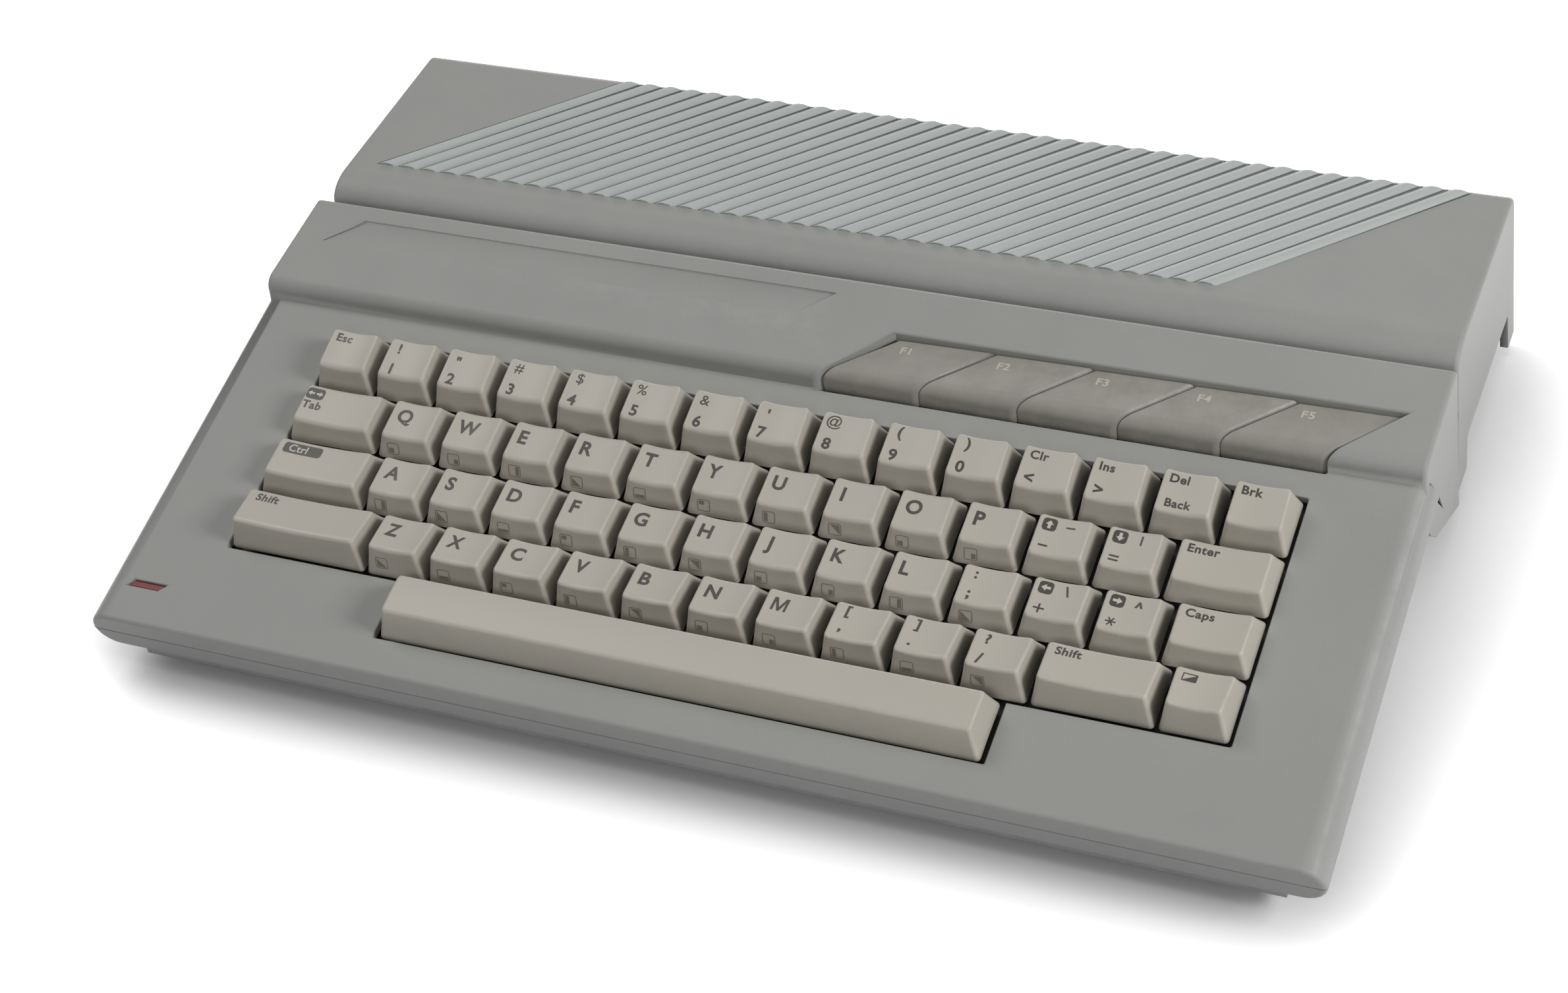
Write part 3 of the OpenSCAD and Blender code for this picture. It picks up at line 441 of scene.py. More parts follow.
def top_cover_edge(m, angle, n1, n2):
    d = deck_place(m)
    side = abs(n1.x) > 0.9 or abs(n2.x) > 0.9
    if angle < 0:                                   # inside corners of the keyboard opening
        upright = abs(n1.cross(n2).normalized().dot(DECK_NORMAL)) > 0.98
        return 0.55 if upright and -2.3 < d.z < 0.1 and -30 < d.y < 68 and abs(d.x) < 144 else 0
    if d.y < DECK_EDGE and d.z > UPPER_PARTING + 0.1:
        return 0.8                                  # front edge of the deck, round to both corners
    if abs(d.z - UPPER_PARTING) < 0.1:
        return 0.16                                 # parting line
    if abs(m.x) > SIDE_X and m.y > -0.6 and side and m.z > 41:
        return 0.8                                  # side silhouettes of the steps
    if 54 < m.y < 110 and m.z > REAR_TOP - 0.1 and abs(m.x) < 162:
        return 0.2                                  # ends of the ribs and the rim of their bed
    if m.z > 50 and 34 < m.y < 36.5:
        return 0.45                                 # rear brow of the middle step
    slanted = max(abs(n1.dot(SLANT)), abs(n2.dot(SLANT))) > 0.97
    if slanted and m.x > -5 and -0.6 < m.y < 18.4 and m.z > 44.5:
        return 0.6 if m.x < 60 else 0.35            # slanted ends of the function key opening
    if 17.8 < m.y < 18.0 and m.z > 53.5:
        return 0.3                                  # rear edge of that opening
    if m.y < -0.3 and abs(d.z) < 0.1:
        return 0.22                                 # keyboard opening, light window, deck edge under the keys
    if m.z > 53 and 18 < m.y < 30:
        return 0.1                                  # badge bed
    if m.y > 112 and 38 < m.z < 39:
        return 0.35                                 # lower lip over the rear sockets
    return 0.15 if abs(m.x) > 171 or m.y > 113 else 0

work = joined_copy("top_cover")
print("top cover edges softened", weigh_edges(work, top_cover_edge))
for face in work.faces:
    c = face.calc_center_median() / MM
    start = c.x - math.tan(RIB_ANGLE) * (c.y - RIB_FRONT)
    in_bed = RIB_FRONT - 0.1 < c.y < RIB_BACK + 0.1 and RIB_LEFT - 0.1 < start < RIB_RIGHT + 0.1 and c.z > 54.9
    flat = face.normal.z > 0.9999 and abs(c.z - REAR_TOP) < 0.01
    face.material_index = 1 if in_bed and not flat else 0
finish_piece(work, "top_cover_shell", "case", [CASE, RIB], "top_cover", width=CASE_BEVEL, segments=4)

# %% [markdown]
# The lower cover closes the slab from below and drops into a tub that holds the board. Only its slab edge, the
# rear panel and the floor show, so those get the soft edges.

# %% Bottom cover
def bottom_cover_edge(m, angle, n1, n2):
    d = deck_place(m)
    if angle < 0:
        return 0
    if d.y < DECK_EDGE:
        return 0.8 if d.z < LOWER_PARTING - 0.25 else 0.2
    if abs(d.z - LOWER_PARTING) < 0.12:
        return 0.2
    if m.z < 4.1 and (abs(m.x) > 162.5 or m.y < -107.5 or m.y > 108):
        return 0.6
    if m.y > 108.3 and m.z > 4.2 and not (62 < m.x < 134 and 8 < m.z < 30):
        return 0.2                                  # the round socket holes stay crisp behind their rims
    return 0

work = joined_copy("bottom_cover")
print("bottom cover edges softened", weigh_edges(work, bottom_cover_edge))
finish_piece(work, "bottom_cover_shell", "case", [CASE_LOW], "bottom_cover", width=CASE_BEVEL,
             segments=4)

# %% [markdown]
# A keycap is a tapered box with a dished top. It is built from rings of points, each a rectangle with round
# corners: the rim at the bottom, a few rings up the sides, a rolled edge, and a grid that fills the top. The
# inside is hollow, as in a real cap, and a round stem hangs below it.

# %% Rings and grids
PITCH = 19.05
ROW_S = (57.15, 38.1, 19.05, 0.0, -19.05)
ROW_REAR = (8.8, 6.4, 5.8, 6.7, 8.8)
ROW_FRONT = (7.5, 6.3, 6.5, 9.0, 9.2)
TOP_FRONT, TOP_REAR, RIM, DISH = -6.37, 5.87, -1.0, 0.8
TOP_MIDDLE, TOP_REACH = (TOP_FRONT + TOP_REAR) / 2, (TOP_REAR - TOP_FRONT) / 2
FOOT_FRONT, FOOT_REAR, FOOT_INSET = -9.35, 9.0, 0.4
TOP_INSET, SIDE_INSET, SIDE_BOW = 2.5, 0.55, 0.14
ROOF = 2.2                                      # the hollow inside ends this far under the top
STEM_RADIUS, STEM_FOOT, STEM_DEPTH = 2.2, -9.3, 1.6
NX, NY = 14, 10                                 # faces across and up the grid on top

def ring(half, front, rear, radius):
    """points round a rectangle with round corners, from the middle of the front left corner"""
    centres = [(-half + radius, front + radius), (half - radius, front + radius),
               (half - radius, rear - radius), (-half + radius, rear - radius)]
    points = []
    for side in range(4):
        here, there = centres[side], centres[(side + 1) % 4]
        straight = (NX if side % 2 == 0 else NY) - 4
        start = 225 + 90 * side
        def on_arc(centre, degrees):
            turn = math.radians(degrees)
            return (centre[0] + radius * math.cos(turn), centre[1] + radius * math.sin(turn))
        points += [on_arc(here, start), on_arc(here, start + 22.5)]
        a, b = on_arc(here, start + 45), on_arc(there, start + 45)
        points += [(a[0] + (b[0] - a[0]) * i / straight, a[1] + (b[1] - a[1]) * i / straight)
                   for i in range(straight + 1)]
        points.append(on_arc(there, start + 67.5))
    return points

def bridge(work, low, high):
    for i in range(len(low)):
        j = (i + 1) % len(low)
        work.faces.new((low[i], low[j], high[j], high[i]))

def fill(work, edge, height):
    """a grid of faces inside a ring of vertices; height(x, s) gives the level of its points"""
    count = len(edge)
    front, rear = edge[:NX + 1], [edge[2 * NX + NY - i] for i in range(NX + 1)]
    left = [edge[(count - j) % count] for j in range(NY + 1)]
    right = [edge[NX + j] for j in range(NY + 1)]
    span_x, span_s = front[NX].co.x - front[0].co.x, left[NY].co.y - left[0].co.y
    grid = [front]
    for j in range(1, NY):
        v, row = (left[j].co.y - left[0].co.y) / span_s, [left[j]]
        for i in range(1, NX):
            u = (front[i].co.x - front[0].co.x) / span_x
            place = [(1 - v) * front[i].co[k] + v * rear[i].co[k] + (1 - u) * left[j].co[k] + u * right[j].co[k]
                     - (1 - u) * (1 - v) * front[0].co[k] - u * (1 - v) * front[NX].co[k]
                     - (1 - u) * v * rear[0].co[k] - u * v * rear[NX].co[k] for k in (0, 1)]
            row.append(work.verts.new((place[0], place[1], height(*place))))
        grid.append(row + [right[j]])
    grid.append(rear)
    for j in range(NY):
        for i in range(NX):
            work.faces.new((grid[j][i], grid[j][i + 1], grid[j + 1][i + 1], grid[j + 1][i]))

def tube(work, x, s, radius, low, high, sides=24):
    turns = [math.tau * i / sides for i in range(sides)]
    rings = [[work.verts.new((x + radius * math.cos(turn), s + radius * math.sin(turn), h)) for turn in turns]
             for h in (low, high)]
    bridge(work, *rings)
    for cap_ring in rings:
        work.faces.new(cap_ring)

class Cap:
    """one keycap in its own frame, in millimetres: x across, s up the deck, h off it"""
    def __init__(self, row, units, dish=DISH, roll=0.65, brow=1.2, crown=0.0):
        """roll rounds the edges round the top, brow the one towards the typist"""
        self.half, self.dish, self.roll, self.brow = units * PITCH / 2, dish, roll, brow
        self.rear, self.front, self.crown = ROW_REAR[row], ROW_FRONT[row], crown
        self.tall = max(self.rear, self.front)

    def plane(self, s):
        return self.front + (self.rear - self.front) * (s - TOP_FRONT) / (TOP_REAR - TOP_FRONT)

    def top(self, x, s):
        wide = self.half - TOP_INSET
        hollow = self.dish * (1 - min(1.0, (x / wide) ** 2))
        hump = self.crown * ((s - TOP_MIDDLE) / TOP_REACH) ** 2
        return self.plane(s) - hollow - hump

    def widen(self, x, s, level):
        """the sides lean in evenly, so a lower part of the top is a little wider"""
        here = self.half - SIDE_INSET - (TOP_INSET - SIDE_INSET) * (level - RIM) / (self.tall - RIM)
        return x * here / (self.half - TOP_INSET)

    def body(self, work):
        side, wide = self.roll, self.half - TOP_INSET
        low = ring(self.half - FOOT_INSET, FOOT_FRONT, FOOT_REAR, 1.3)
        lip, flat = ([(self.widen(x, s, self.plane(s)), s) for x, s in points] for points in (
            ring(wide, TOP_FRONT, TOP_REAR, 1.1),
            ring(wide - side, TOP_FRONT + self.brow, TOP_REAR - side, 0.7)))
        levels = [[] for _ in range(9)]
        for (bx, bs), (ex, es), (fx, fs) in zip(low, lip, flat):
            base, edge = Vector((bx, bs, RIM)), Vector((ex, es, self.top(ex, es)))
            end = Vector((fx, fs, self.top(fx, fs)))
            out = Vector((bx - ex, bs - es, 0)).normalized()
            share = 1 - (side + (self.brow - side) * max(0.0, -out.y) ** 2) / (base - edge).length
            for k, t in enumerate((0.0, 0.04, 0.36, 0.68, share)):
                bow = -SIDE_BOW * 4 * t * (1 - t) - (0.22 if k == 0 else 0.0)
                levels[k].append(base + (edge - base) * t + out * bow)
            start = levels[4][-1]
            for k, u in enumerate((0.25, 0.5, 0.75, 1.0)):
                levels[5 + k].append(start * (1 - u) ** 2 + edge * 2 * u * (1 - u) + end * u ** 2)
        rings = [[work.verts.new(p) for p in level] for level in levels]
        for a, b in zip(rings, rings[1:]):
            bridge(work, a, b)
        fill(work, rings[-1], self.top)
        mouth = [work.verts.new((x, s, RIM)) for x, s in ring(self.half - 2.0, -7.5, 7.5, 0.8)]
        roof = [work.verts.new((x, s, self.plane(s) - ROOF))
                for x, s in ring(self.half - 3.7, TOP_FRONT + 1.3, TOP_REAR - 1.3, 0.6)]
        bridge(work, rings[0], mouth)
        bridge(work, mouth, roof)
        fill(work, roof, lambda x, s: self.plane(s) - ROOF)

    def stems(self, work, places=(0.0,)):
        for x in places:
            tube(work, x, 0.0, STEM_RADIUS, STEM_FOOT, (self.front + self.rear) / 2 - STEM_DEPTH)

print("points in a ring", len(ring(9, -9, 9, 1.5)))

# %% [markdown]
# Print on a cap is a film: a slab a few hundredths of a millimetre proud that follows the dish. Letters come
# from a text curve, which is filled, measured once so that a capital is one unit tall, and then laid down.

# %% Print
def filled_text(body, bold=0.022):
    """outline points and faces of a text, one capital height tall, starting at x = 0 on its baseline"""
    curve = bpy.data.curves.new("lettering", "FONT")
    curve.body, curve.size, curve.resolution_u, curve.offset = body, 1.0, 4, bold
    curve.fill_mode, curve.space_character = "FRONT", 1.0 + 3 * bold
    holder = bpy.data.objects.new("lettering", curve)
    mesh = bpy.data.meshes.new_from_object(holder)
    points = [(v.co.x, v.co.y) for v in mesh.vertices]
    faces = [tuple(f.vertices) for f in mesh.polygons]
    bpy.data.objects.remove(holder)
    bpy.data.curves.remove(curve)
    bpy.data.meshes.remove(mesh)
    return points, faces

def halfway(values):
    return (min(values) + max(values)) / 2

H_LEVELS = [y for x, y in filled_text("H")[0]]
CAPITAL = max(H_LEVELS) - min(H_LEVELS)

def lettering(body, x, s, tall, bold=0.022, centred=False, squeeze=1.0):
    points, faces = filled_text(body, bold)
    k = tall / CAPITAL
    across = [px for px, py in points]
    shift = halfway(across) if centred else min(across)
    rise = halfway([py for px, py in points]) if centred else 0.0
    return [((px - shift) * k * squeeze + x, (py - rise) * k + s) for px, py in points], faces

def outline(points):
    return points, [tuple(range(len(points)))]

def round_corners(x0, s0, x1, s1, radius):
    left, right, low, high = x0 + radius, x1 - radius, s0 + radius, s1 - radius
    points = []
    for cx, cs, start in ((right, high, 0), (left, high, 90), (left, low, 180), (right, low, 270)):
        for turn in (math.radians(start + a) for a in (0, 30, 60, 90)):
            points.append((cx + radius * math.cos(turn), cs + radius * math.sin(turn)))
    return points

def badge(x0, s0, x1, s1, radius):
    """a filled rectangle with round corners, cut into strips so that it can follow the dish"""
    bends = [radius * (1 - math.cos(math.radians(a))) for a in (0, 25, 50, 75, 90)]
    steps = max(2, round((x1 - x0 - 2 * radius) / 0.8))
    middle = [x0 + radius + (x1 - x0 - 2 * radius) * i / steps for i in range(1, steps)]
    points = []
    for x in [x0 + b for b in bends] + middle + [x1 - b for b in reversed(bends)]:
        near = max(0.0, radius - min(x - x0, x1 - x))
        inset = radius - math.sqrt(max(0.0, radius ** 2 - near ** 2))
        points += [(x, s0 + inset), (x, s1 - inset)]
    return points, [(i, i + 2, i + 3, i + 1) for i in range(0, len(points) - 2, 2)]

def arrow(x, s, direction, size=0.62):
    """a small arrow centred on x, s that points up, down, left or right"""
    points = [(-0.32, -1), (0.32, -1), (0.32, 0), (0.85, 0), (0, 1), (-0.85, 0), (-0.32, 0)]
    turn = {"up": 0, "left": 90, "down": 180, "right": 270}[direction]
    c, n = math.cos(math.radians(turn)), math.sin(math.radians(turn))
    return outline([(x + size * (px * c - py * n), s + size * (px * n + py * c)) for px, py in points])

def bar(x, s, wide, tall):
    """a plain stroke centred on x, s"""
    a, b = wide / 2, tall / 2
    return outline([(x - a, s - b), (x + a, s - b), (x + a, s + b), (x - a, s + b)])

def frame_line(x0, s0, x1, s1, radius, line):
    """a closed line round a rectangle with round corners"""
    outer = round_corners(x0, s0, x1, s1, radius)
    inner = round_corners(x0 + line, s0 + line, x1 - line, s1 - line, max(0.05, radius - line))
    count = len(outer)
    return outer + inner, [(i, (i + 1) % count, (i + 1) % count + count, i + count) for i in range(count)]

def film(work, drawing, place, finish, lift=0.03, depth=0.14):
    """a closed slab from a flat drawing; place(x, s, lift) gives its point on the cap"""
    flat = bmesh.new()
    verts = [flat.verts.new((x, s, 0)) for x, s in drawing[0]]
    for face in drawing[1]:
        try:
            flat.faces.new([verts[i] for i in face])
        except ValueError:
            pass                                    # the filler gave the same face twice
    bmesh.ops.remove_doubles(flat, verts=flat.verts, dist=1e-4)
    bmesh.ops.dissolve_degenerate(flat, edges=flat.edges, dist=1e-4)
    bmesh.ops.recalc_face_normals(flat, faces=flat.faces)
    up = {v: work.verts.new(place(v.co.x, v.co.y, lift)) for v in flat.verts if v.link_faces}
    down = {v: work.verts.new(place(v.co.x, v.co.y, lift - depth)) for v in up}
    made = []
    for face in flat.faces:
        loop = list(face.verts)
        made += [work.faces.new([up[v] for v in loop]), work.faces.new([down[v] for v in reversed(loop)])]
    for edge in flat.edges:
        if len(edge.link_faces) == 1:
            loop = edge.link_faces[0].loops
            a, b = next((l.vert, l.link_loop_next.vert) for l in loop if l.edge == edge)
            made.append(work.faces.new((up[b], up[a], down[a], down[b])))
    for face in made:
        face.material_index = finish
    bmesh.ops.recalc_face_normals(work, faces=made)
    flat.free()

print("capital height of one text unit", round(CAPITAL, 3))

# %% [markdown]
# Each key gets its own print. Letters stand large in the upper left, digits below with their shifted sign above,
# words small along the rear edge. Six keys carry a dark badge with a pale arrow or word, and the letter keys and
# four of the punctuation keys have a faint sign low on their front face.

# %% Key legends
PRINT, FAINT, PALE = 1, 2, 3

def letter(mark):
    left = {"I": -4.4, "J": -4.8}.get(mark, -5.1)
    if mark == "M":
        t, w = 0.15, 0.92                           # stroke and width of the M, for a height of one
        corners = ((0, 0), (t, 0), (t, 0.7), (w / 2 - 0.07, 0), (w / 2 + 0.07, 0), (w - t, 0.7), (w - t, 0),
                   (w, 0), (w, 1), (w - t - 0.06, 1), (w / 2, 0.3), (t + 0.06, 1), (0, 1))
        return [("top", outline([(left + 4.5 * x, -1.1 + 4.5 * y) for x, y in corners]), PRINT)]
    narrow = 0.84 if mark in "XKVYZ" else 0.92
    return [("top", lettering(mark, left + 0.2, -1.0, 4.4, 0.032, squeeze=narrow), PRINT)]

def sign(mark, x, s, tall=3.4):
    """one sign centred on x, s; strokes that a text would set too small are drawn as bars"""
    strokes = {"-": [bar(x, s, 2.5, 0.55)], "_": [bar(x, s, 2.5, 0.5)], "|": [bar(x, s, 0.5, 3.0)],
               "=": [bar(x, s + 0.6, 2.6, 0.5), bar(x, s - 0.6, 2.6, 0.5)],
               "+": [bar(x, s, 2.9, 0.5), bar(x, s + 0.85, 0.5, 1.2), bar(x, s - 0.85, 0.5, 1.2)]}
    if mark in strokes:
        return [("top", stroke, PRINT) for stroke in strokes[mark]]
    if mark == "*":
        spokes, spoke = [], ((-1.4, -0.2), (1.4, -0.2), (1.4, 0.2), (-1.4, 0.2))
        for turn in (math.radians(60 * i) for i in range(3)):
            c, n = math.cos(turn), math.sin(turn)
            turned = [(x + c * a - n * b, s + n * a + c * b) for a, b in spoke]
            spokes.append(("top", outline(turned), PRINT))
        return spokes
    bold = 0.006 if mark in "@#$%&" else 0.03
    return [("top", lettering(mark, x, s, tall, bold, True), PRINT)]

def two_signs(upper, lower):
    return sign(upper, -3.7, 3.0, 3.2) + sign(lower, -3.9, -3.7)

def word(text, left=-5.3, s=2.3, tall=2.55):
    return [("top", lettering(text, left, s, tall, 0.03), PRINT)]

def arrow_key(direction, upper, lower):
    return [("top", badge(-5.8, 1.1, -2.0, 5.0, 1.0), PRINT), ("pale", arrow(-3.9, 3.05, direction, 1.25), PALE),
            *sign(upper, 1.8, 3.0, 3.2), *sign(lower, -3.9, -3.6)]

def front_sign(kind):
    """a round-cornered square with a part filled, another for each key"""
    x, v, a = -3.7, 3.5, 1.85
    b, c, e = a - 0.5, 0.15, 0.3
    shapes = [
        [(-b, -b), (c, -b), (c, c), (-b, c)],
        [(-b, -b), (b, -b), (-b, b)],
        [(-b, -b), (-e, -b), (-e, b), (-b, b)],
        [(c, -b), (b, -b), (b, c), (c, c)],
        [(-b, -b), (b, -b), (b, -e), (-b, -e)],
        [(b, -b), (b, b), (-b, b)],
        [(e, -b), (b, -b), (b, b), (e, b)],
        [(-b, c), (c, c), (c, b), (-b, b)]]
    filled = [(x + px, v + pv) for px, pv in shapes[kind % len(shapes)]]
    return [("face", frame_line(x - a, v - a, x + a, v + a, 0.6, 0.24), FAINT), ("face", outline(filled), FAINT)]

LEGENDS = {
    "key_esc": word("Esc"), "key_backspace": word("Del") + word("Back", -4.9, -4.9, 2.4), "key_break": word("Brk"),
    "key_tab": word("Tab", -11.2, -2.0, 2.6) + [("top", badge(-11.4, 1.3, -6.0, 5.0, 1.0), PRINT),
        ("pale", arrow(-10.0, 3.15, "left", 1.0), PALE), ("pale", arrow(-7.4, 3.15, "right", 1.0), PALE)],
    "key_return": word("Enter", -9.8), "key_caps": word("Caps", -7.6), "key_shift_left": word("Shift", -16.3),
    "key_shift_right": word("Shift", -12.2),
    "key_control": [("top", badge(-12.4, 1.3, -0.4, 4.9, 1.0), PRINT),
        ("pale", lettering("Ctrl", -10.6, 1.95, 2.5, 0.015), PALE)],
    "key_inverse": [("top", frame_line(-5.4, 1.7, -1.6, 4.3, 0.1, 0.3), PRINT),
        ("top", outline([(-5.1, 2.0), (-1.9, 2.0), (-1.9, 4.0)]), PRINT)]}
for n, mark in enumerate("qwertyuiopasdfghjklzxcvbnm"):
    LEGENDS["key_" + mark] = letter(mark.upper()) + front_sign(n * 3)
NUMBER_LEGENDS = [two_signs(u, l) for u, l in zip("!\"#$%&'@()", "1234567890")] + [
    word("Clr") + sign("<", -3.9, -3.4), word("Ins") + sign(">", -3.9, -3.4)]
SYMBOL_LEGENDS = [
    arrow_key("up", "_", "-"), arrow_key("down", "|", "="),
    two_signs(":", ";") + front_sign(1), arrow_key("left", "\\", "+"), arrow_key("right", "^", "*"),
    two_signs("[", ",") + front_sign(2), two_signs("]", ".") + front_sign(4), two_signs("?", "/") + front_sign(5)]
print("printed keys", len(LEGENDS) + len(NUMBER_LEGENDS) + len(SYMBOL_LEGENDS))

# %% [markdown]
# The rows step up towards the rear and the caps change height with them. Single keys are one piece each; the
# number row and the punctuation keys move as one body each, so their caps share one object.

# %% Keycaps
PALE_LIFT = 0.09                                # pale signs lie on top of the dark badge
CAP_FINISHES = [CAP, INK, PALE_INK, BADGE_INK]

def to_deck(work, x, row):
    """moves a cap from its own frame to its place on the deck, and from millimetres to metres"""
    move = DECK @ Matrix.Scale(MM, 4) @ Matrix.Translation((x, ROW_S[row], 0))
    for vert in work.verts:
        vert.co = move @ vert.co

def add_cap(work, row, left, units, legend):
    cap = Cap(row, units)
    cap.body(work)
    cap.stems(work)
    bmesh.ops.recalc_face_normals(work, faces=work.faces)
    for kind, drawing, finish in legend:
        if kind == "face":
            def place(x, v, lift):
                foot = Vector((x, FOOT_FRONT, RIM))
                climb = Vector((x, TOP_FRONT, cap.top(x, TOP_FRONT))) - foot
                t = (v + (cap.front - ROW_FRONT[2]) / 2) / climb.length
                out = Vector((0, -climb.z, climb.y)).normalized()
                return foot + climb * t + out * (lift - SIDE_BOW * 4 * t * (1 - t) * 0.97)
        else:
            extra = PALE_LIFT if kind == "pale" else 0.0
            def place(x, s, lift):
                return Vector((x, s, cap.top(x, s) + lift + extra))
        film(work, drawing, place, finish)
    to_deck(work, (left + units / 2 - 7.5) * PITCH, row)

def key_object(node, caps):
    work = bmesh.new()
    for row, left, units, legend in caps:
        part = bmesh.new()
        add_cap(part, row, left, units, legend)
        mesh = bpy.data.meshes.new("part")
        part.to_mesh(mesh)
        part.free()
        work.from_mesh(mesh)
        bpy.data.meshes.remove(mesh)
    finish_piece(work, node + "_cap", node, CAP_FINISHES, node, smooth=50.0)

SINGLE = [                                      # node, row, left edge and width in key units
    ("key_esc", 0, 0, 1), ("key_backspace", 0, 13, 1), ("key_break", 0, 14, 1),
    ("key_tab", 1, 0, 1.5), ("key_return", 1, 13.5, 1.5),
    ("key_control", 2, 0, 1.75), ("key_caps", 2, 13.75, 1.25),
    ("key_shift_left", 3, 0, 2.25), ("key_shift_right", 3, 12.25, 1.75), ("key_inverse", 3, 14, 1)]
for row, left, marks in ((1, 1.5, "qwertyuiop"), (2, 1.75, "asdfghjkl"), (3, 2.25, "zxcvbnm")):
    SINGLE += [("key_" + mark, row, left + i, 1) for i, mark in enumerate(marks)]
for node, row, left, units in SINGLE:
    key_object(node, [(row, left, units, LEGENDS[node])])
key_object("keys_numbers", [(0, 1 + i, 1, NUMBER_LEGENDS[i]) for i in range(12)])
SYMBOL_PLACES = [(1, 11.5), (1, 12.5), (2, 10.75), (2, 11.75), (2, 12.75), (3, 9.25), (3, 10.25), (3, 11.25)]
key_object("keys_symbols",
           [(row, left, 1, legend) for (row, left), legend in zip(SYMBOL_PLACES, SYMBOL_LEGENDS)])

SPACE_X, SPACE_ROW, SPACE_STEMS = -1.5, 4, (-55.0, 0.0, 55.0)
work = bmesh.new()
wide_cap = Cap(SPACE_ROW, 9, dish=0.0, roll=0.7, brow=0.8, crown=0.3)
wide_cap.body(work)
wide_cap.stems(work, SPACE_STEMS)
bmesh.ops.recalc_face_normals(work, faces=work.faces)
to_deck(work, SPACE_X, SPACE_ROW)
finish_piece(work, "space_bar_cap", "space_bar", [CAP], "space_bar", smooth=50.0)
print("caps", len(SINGLE) + 3)

# %% [markdown]
# The five function keys are slanted plates that roll over the nose of the middle step. The rear end of each sinks
# behind the lip of the case and its left edge lies a little low, so the rounded right edge of its neighbour
# stands proud and catches a line of light; their finish also paints all sharp edges paler, a painted highlight.

# %% Function keys
STEP_FRONT, STEP_REAR = (3.8, 52.2), (34.6, 56.0)               # Y and Z of the sloping top of the step
NOSE_Y, NOSE_Z, NOSE_RADIUS = 4.1, 48.1, 4.2
FKEY_LEFT, FKEY_PITCH, FKEY_COUNT = 21.3, 28.1, 5
REAR_SINK, UNDER_SINK, LEFT_SINK = 1.3, 0.7, 0.6

def step_height(y):
    slope = (STEP_REAR[1] - STEP_FRONT[1]) / (STEP_REAR[0] - STEP_FRONT[0])
    return STEP_FRONT[1] + slope * (y - STEP_FRONT[0])

def function_key_edge(m, angle, n1, n2):
    if angle < 0:
        return 0
    ends = [abs(n.dot(SLANT)) > 0.97 for n in (n1, n2)]
    face = n2 if ends[0] else n1
    outside = face.z > 0.05 or face.y < -0.5
    if any(ends) and outside and m.y < 17.5:
        side = n1 if ends[0] else n2
        return 1.0 if side.x > 0 else 0.35
    if m.y > 17.3 and outside and m.z > 53:
        return 0.35
    return 0

def sink_edges(work, left):
    for vert in work.verts:
        p = vert.co / MM
        out = Vector((0, min(0.0, p.y - NOSE_Y), max(0.0, p.z - NOSE_Z)))
        skin = p.z > step_height(p.y) - 1.2 if p.y > NOSE_Y else out.length > NOSE_RADIUS - 1.0
        if p.z > step_height(p.y) - 2.6 and p.y > 14:
            vert.co.z -= (REAR_SINK if skin else UNDER_SINK) * MM
        if skin and (p - Vector((left, 0, 0))).dot(SLANT) < -11:
            vert.co -= out.normalized() * LEFT_SINK * MM

for number in range(1, FKEY_COUNT + 1):
    node, left = "fkey_%d" % number, FKEY_LEFT + FKEY_PITCH * (number - 1)
    work = joined_copy(node)
    weigh_edges(work, function_key_edge)
    sink_edges(work, left)
    surface = BVHTree.FromBMesh(work)
    def on_key(x, y, lift):
        hit = surface.ray_cast(Vector((x, y, 90.0)) * MM, Vector((0, 0, -1)))[0]
        return hit + Vector((0, 0, lift * MM))
    film(work, lettering("F%d" % number, left + 2.1, 12.0, 2.8, 0.02), on_key, 1)
    finish_piece(work, "function_key_%d" % number, node, [FKEY, LIGHT_INK], node, width=1.0)
print("function keys", FKEY_COUNT)

# %% [markdown]
# The small parts: a red lens beside the keyboard, rubber feet, the power switch, and the sockets at the rear and
# on the right. Their pins are picked out by place and plated; the television jack and the controller ports are
# bare metal. What lies inside the case keeps its plain solid and only takes a finish.

# %% Lens, feet, switch and sockets
SOCKET_Z, DIN_X, JACK_X = 19, (118, 76), 98
SERIAL_PITCH, PORT_PITCH, PORT_Y = 3.8, 2.77, (63.5, 91.5)
SERIAL_PINS = [(-109.4 + SERIAL_PITCH * i, 18.6) for i in range(7)]
SERIAL_PINS += [(-107.5 + SERIAL_PITCH * i, 15.5) for i in range(6)]
PORT_PINS = [(y - 2 * PORT_PITCH + PORT_PITCH * i, 15.42) for y in PORT_Y for i in range(5)]
PORT_PINS += [(y - 1.5 * PORT_PITCH + PORT_PITCH * i, 12.58) for y in PORT_Y for i in range(4)]

def near_pin(c, pins, radius, axes):
    return any((c[axes[0]] - a) ** 2 + (c[axes[1]] - b) ** 2 < radius ** 2 for a, b in pins)

def serial_metal(c, normal):
    return 1 if near_pin(c, SERIAL_PINS, 0.95, (0, 2)) and c.y > 101 else 0

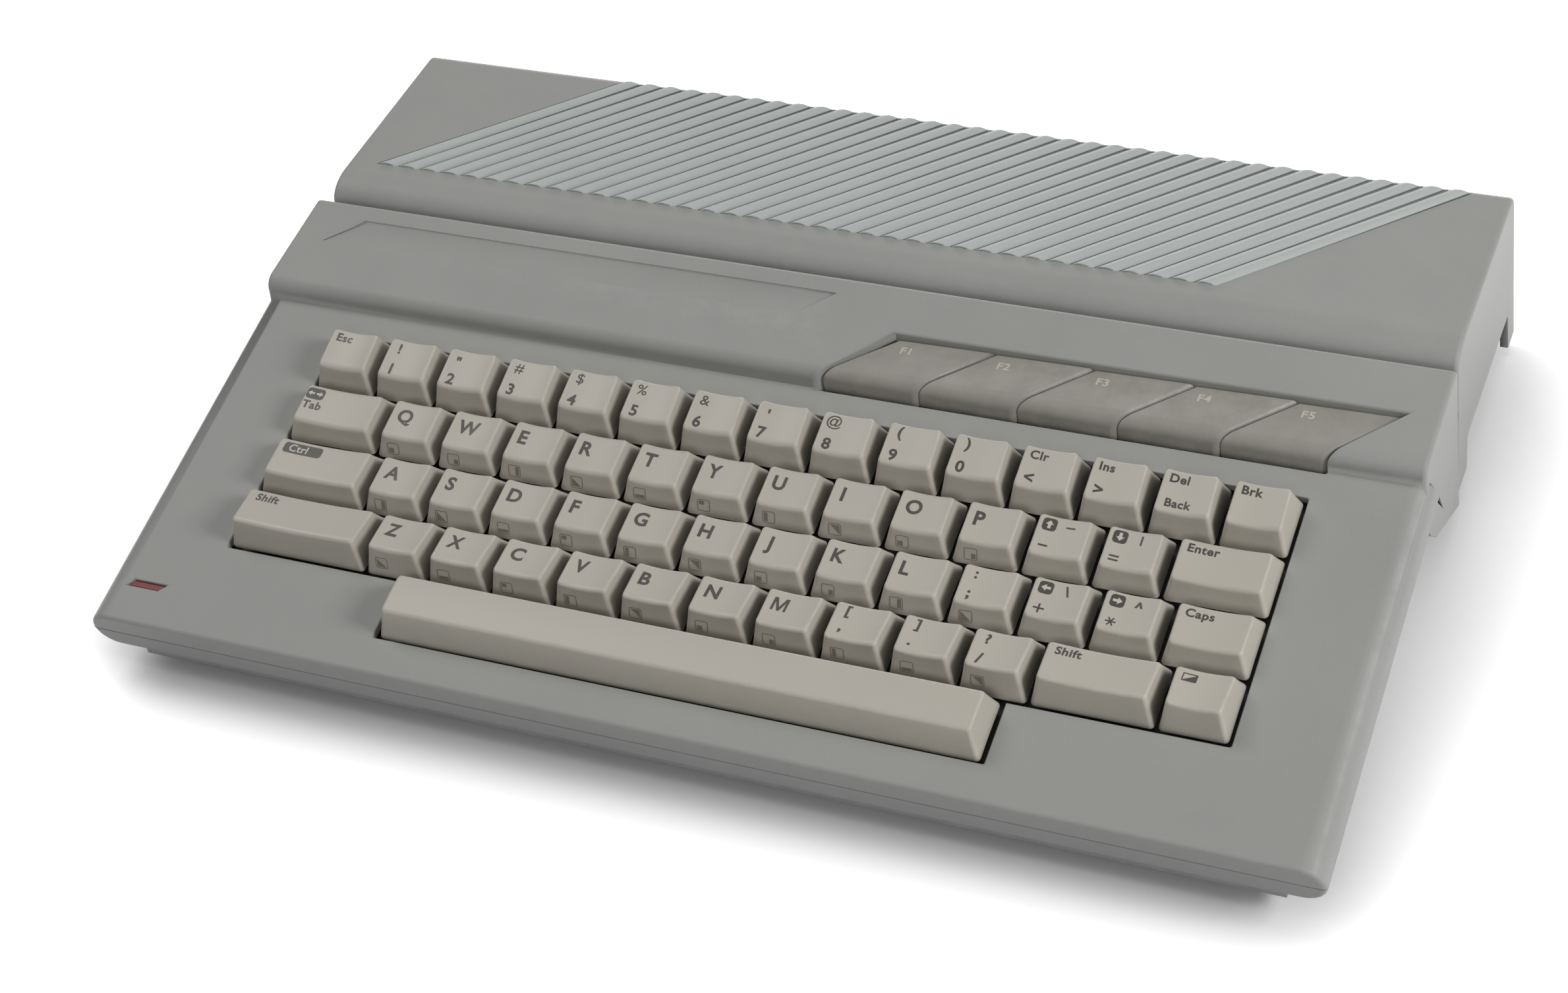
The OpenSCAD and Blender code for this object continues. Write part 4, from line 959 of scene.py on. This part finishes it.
def din_metal(c, normal):
    """the jack, the front faces, and the rings round the two sockets"""
    ring_side = c.y > 103 and abs(c.z - SOCKET_Z) < 8.3 and abs(normal.y) < 0.1 and any(
        math.hypot(c.x - x, c.z - SOCKET_Z) > 6.5 for x in DIN_X if abs(c.x - x) < 9)
    front = c.y > 108.9 and normal.y > 0.9
    return 1 if abs(c.x - JACK_X) < 6.2 or front or ring_side else 0

def port_metal(c, normal):
    if near_pin(c, PORT_PINS, 0.6, (1, 2)) and c.x > 159.3:
        return 1
    return 2 if normal.x > 0.9 and 158.8 < c.x < 160 else 0

def small_part(node, finishes, softened=None, width=0.0, choose=None, flat=None, body="case"):
    """softened(middle, angle) says which edges get the width, choose(middle, normal) which finish a face takes"""
    work = joined_copy(node)
    weigh_edges(work, lambda m, angle, n1, n2: 1.0 if softened and softened(m, angle) else 0)
    if choose:
        for face in work.faces:
            face.material_index = choose(face.calc_center_median() / MM, face.normal)
    finish_piece(work, node + "_shell", body, finishes, node, width=width, segments=2, flat=flat)

small_part("power_light", [LENS], lambda m, a: a > 0 and deck_place(m).z > -0.8, 0.25)
small_part("rubber_feet", [FOOT], lambda m, a: a > 60 and m.z < 0.1, 0.4)
small_part("power_switch", [BLACK], lambda m, a: m.y > 108 and abs(m.x - 143) < 6.3, 0.5,
           body="power_switch")
small_part("cartridge_slot", [BLACK], lambda m, a: m.y > 108.9, 0.4)
small_part("serial_port", [BLACK, GOLD], lambda m, a: m.y > 108.9 and a > 0, 0.3, serial_metal)
small_part("din_sockets", [BLACK, STEEL], choose=din_metal, flat=Vector((0, 1, 0)))
small_part("controller_ports", [STEEL, GOLD, BLACK], choose=port_metal, flat=Vector((1, 0, 0)))

def dress(node, finish):
    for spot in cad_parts[node].material_slots:
        spot.material = finish

PLAIN = {"keyboard_frame": BLACK, "dome_sheet": DOME, "keyboard_backplate": STEEL, "main_board": BOARD,
         "chips": CHIP, "rf_shield": STEEL, "case_screws": STEEL}
for node, finish in PLAIN.items():
    dress(node, finish)
print("dressed solids", len(PLAIN))
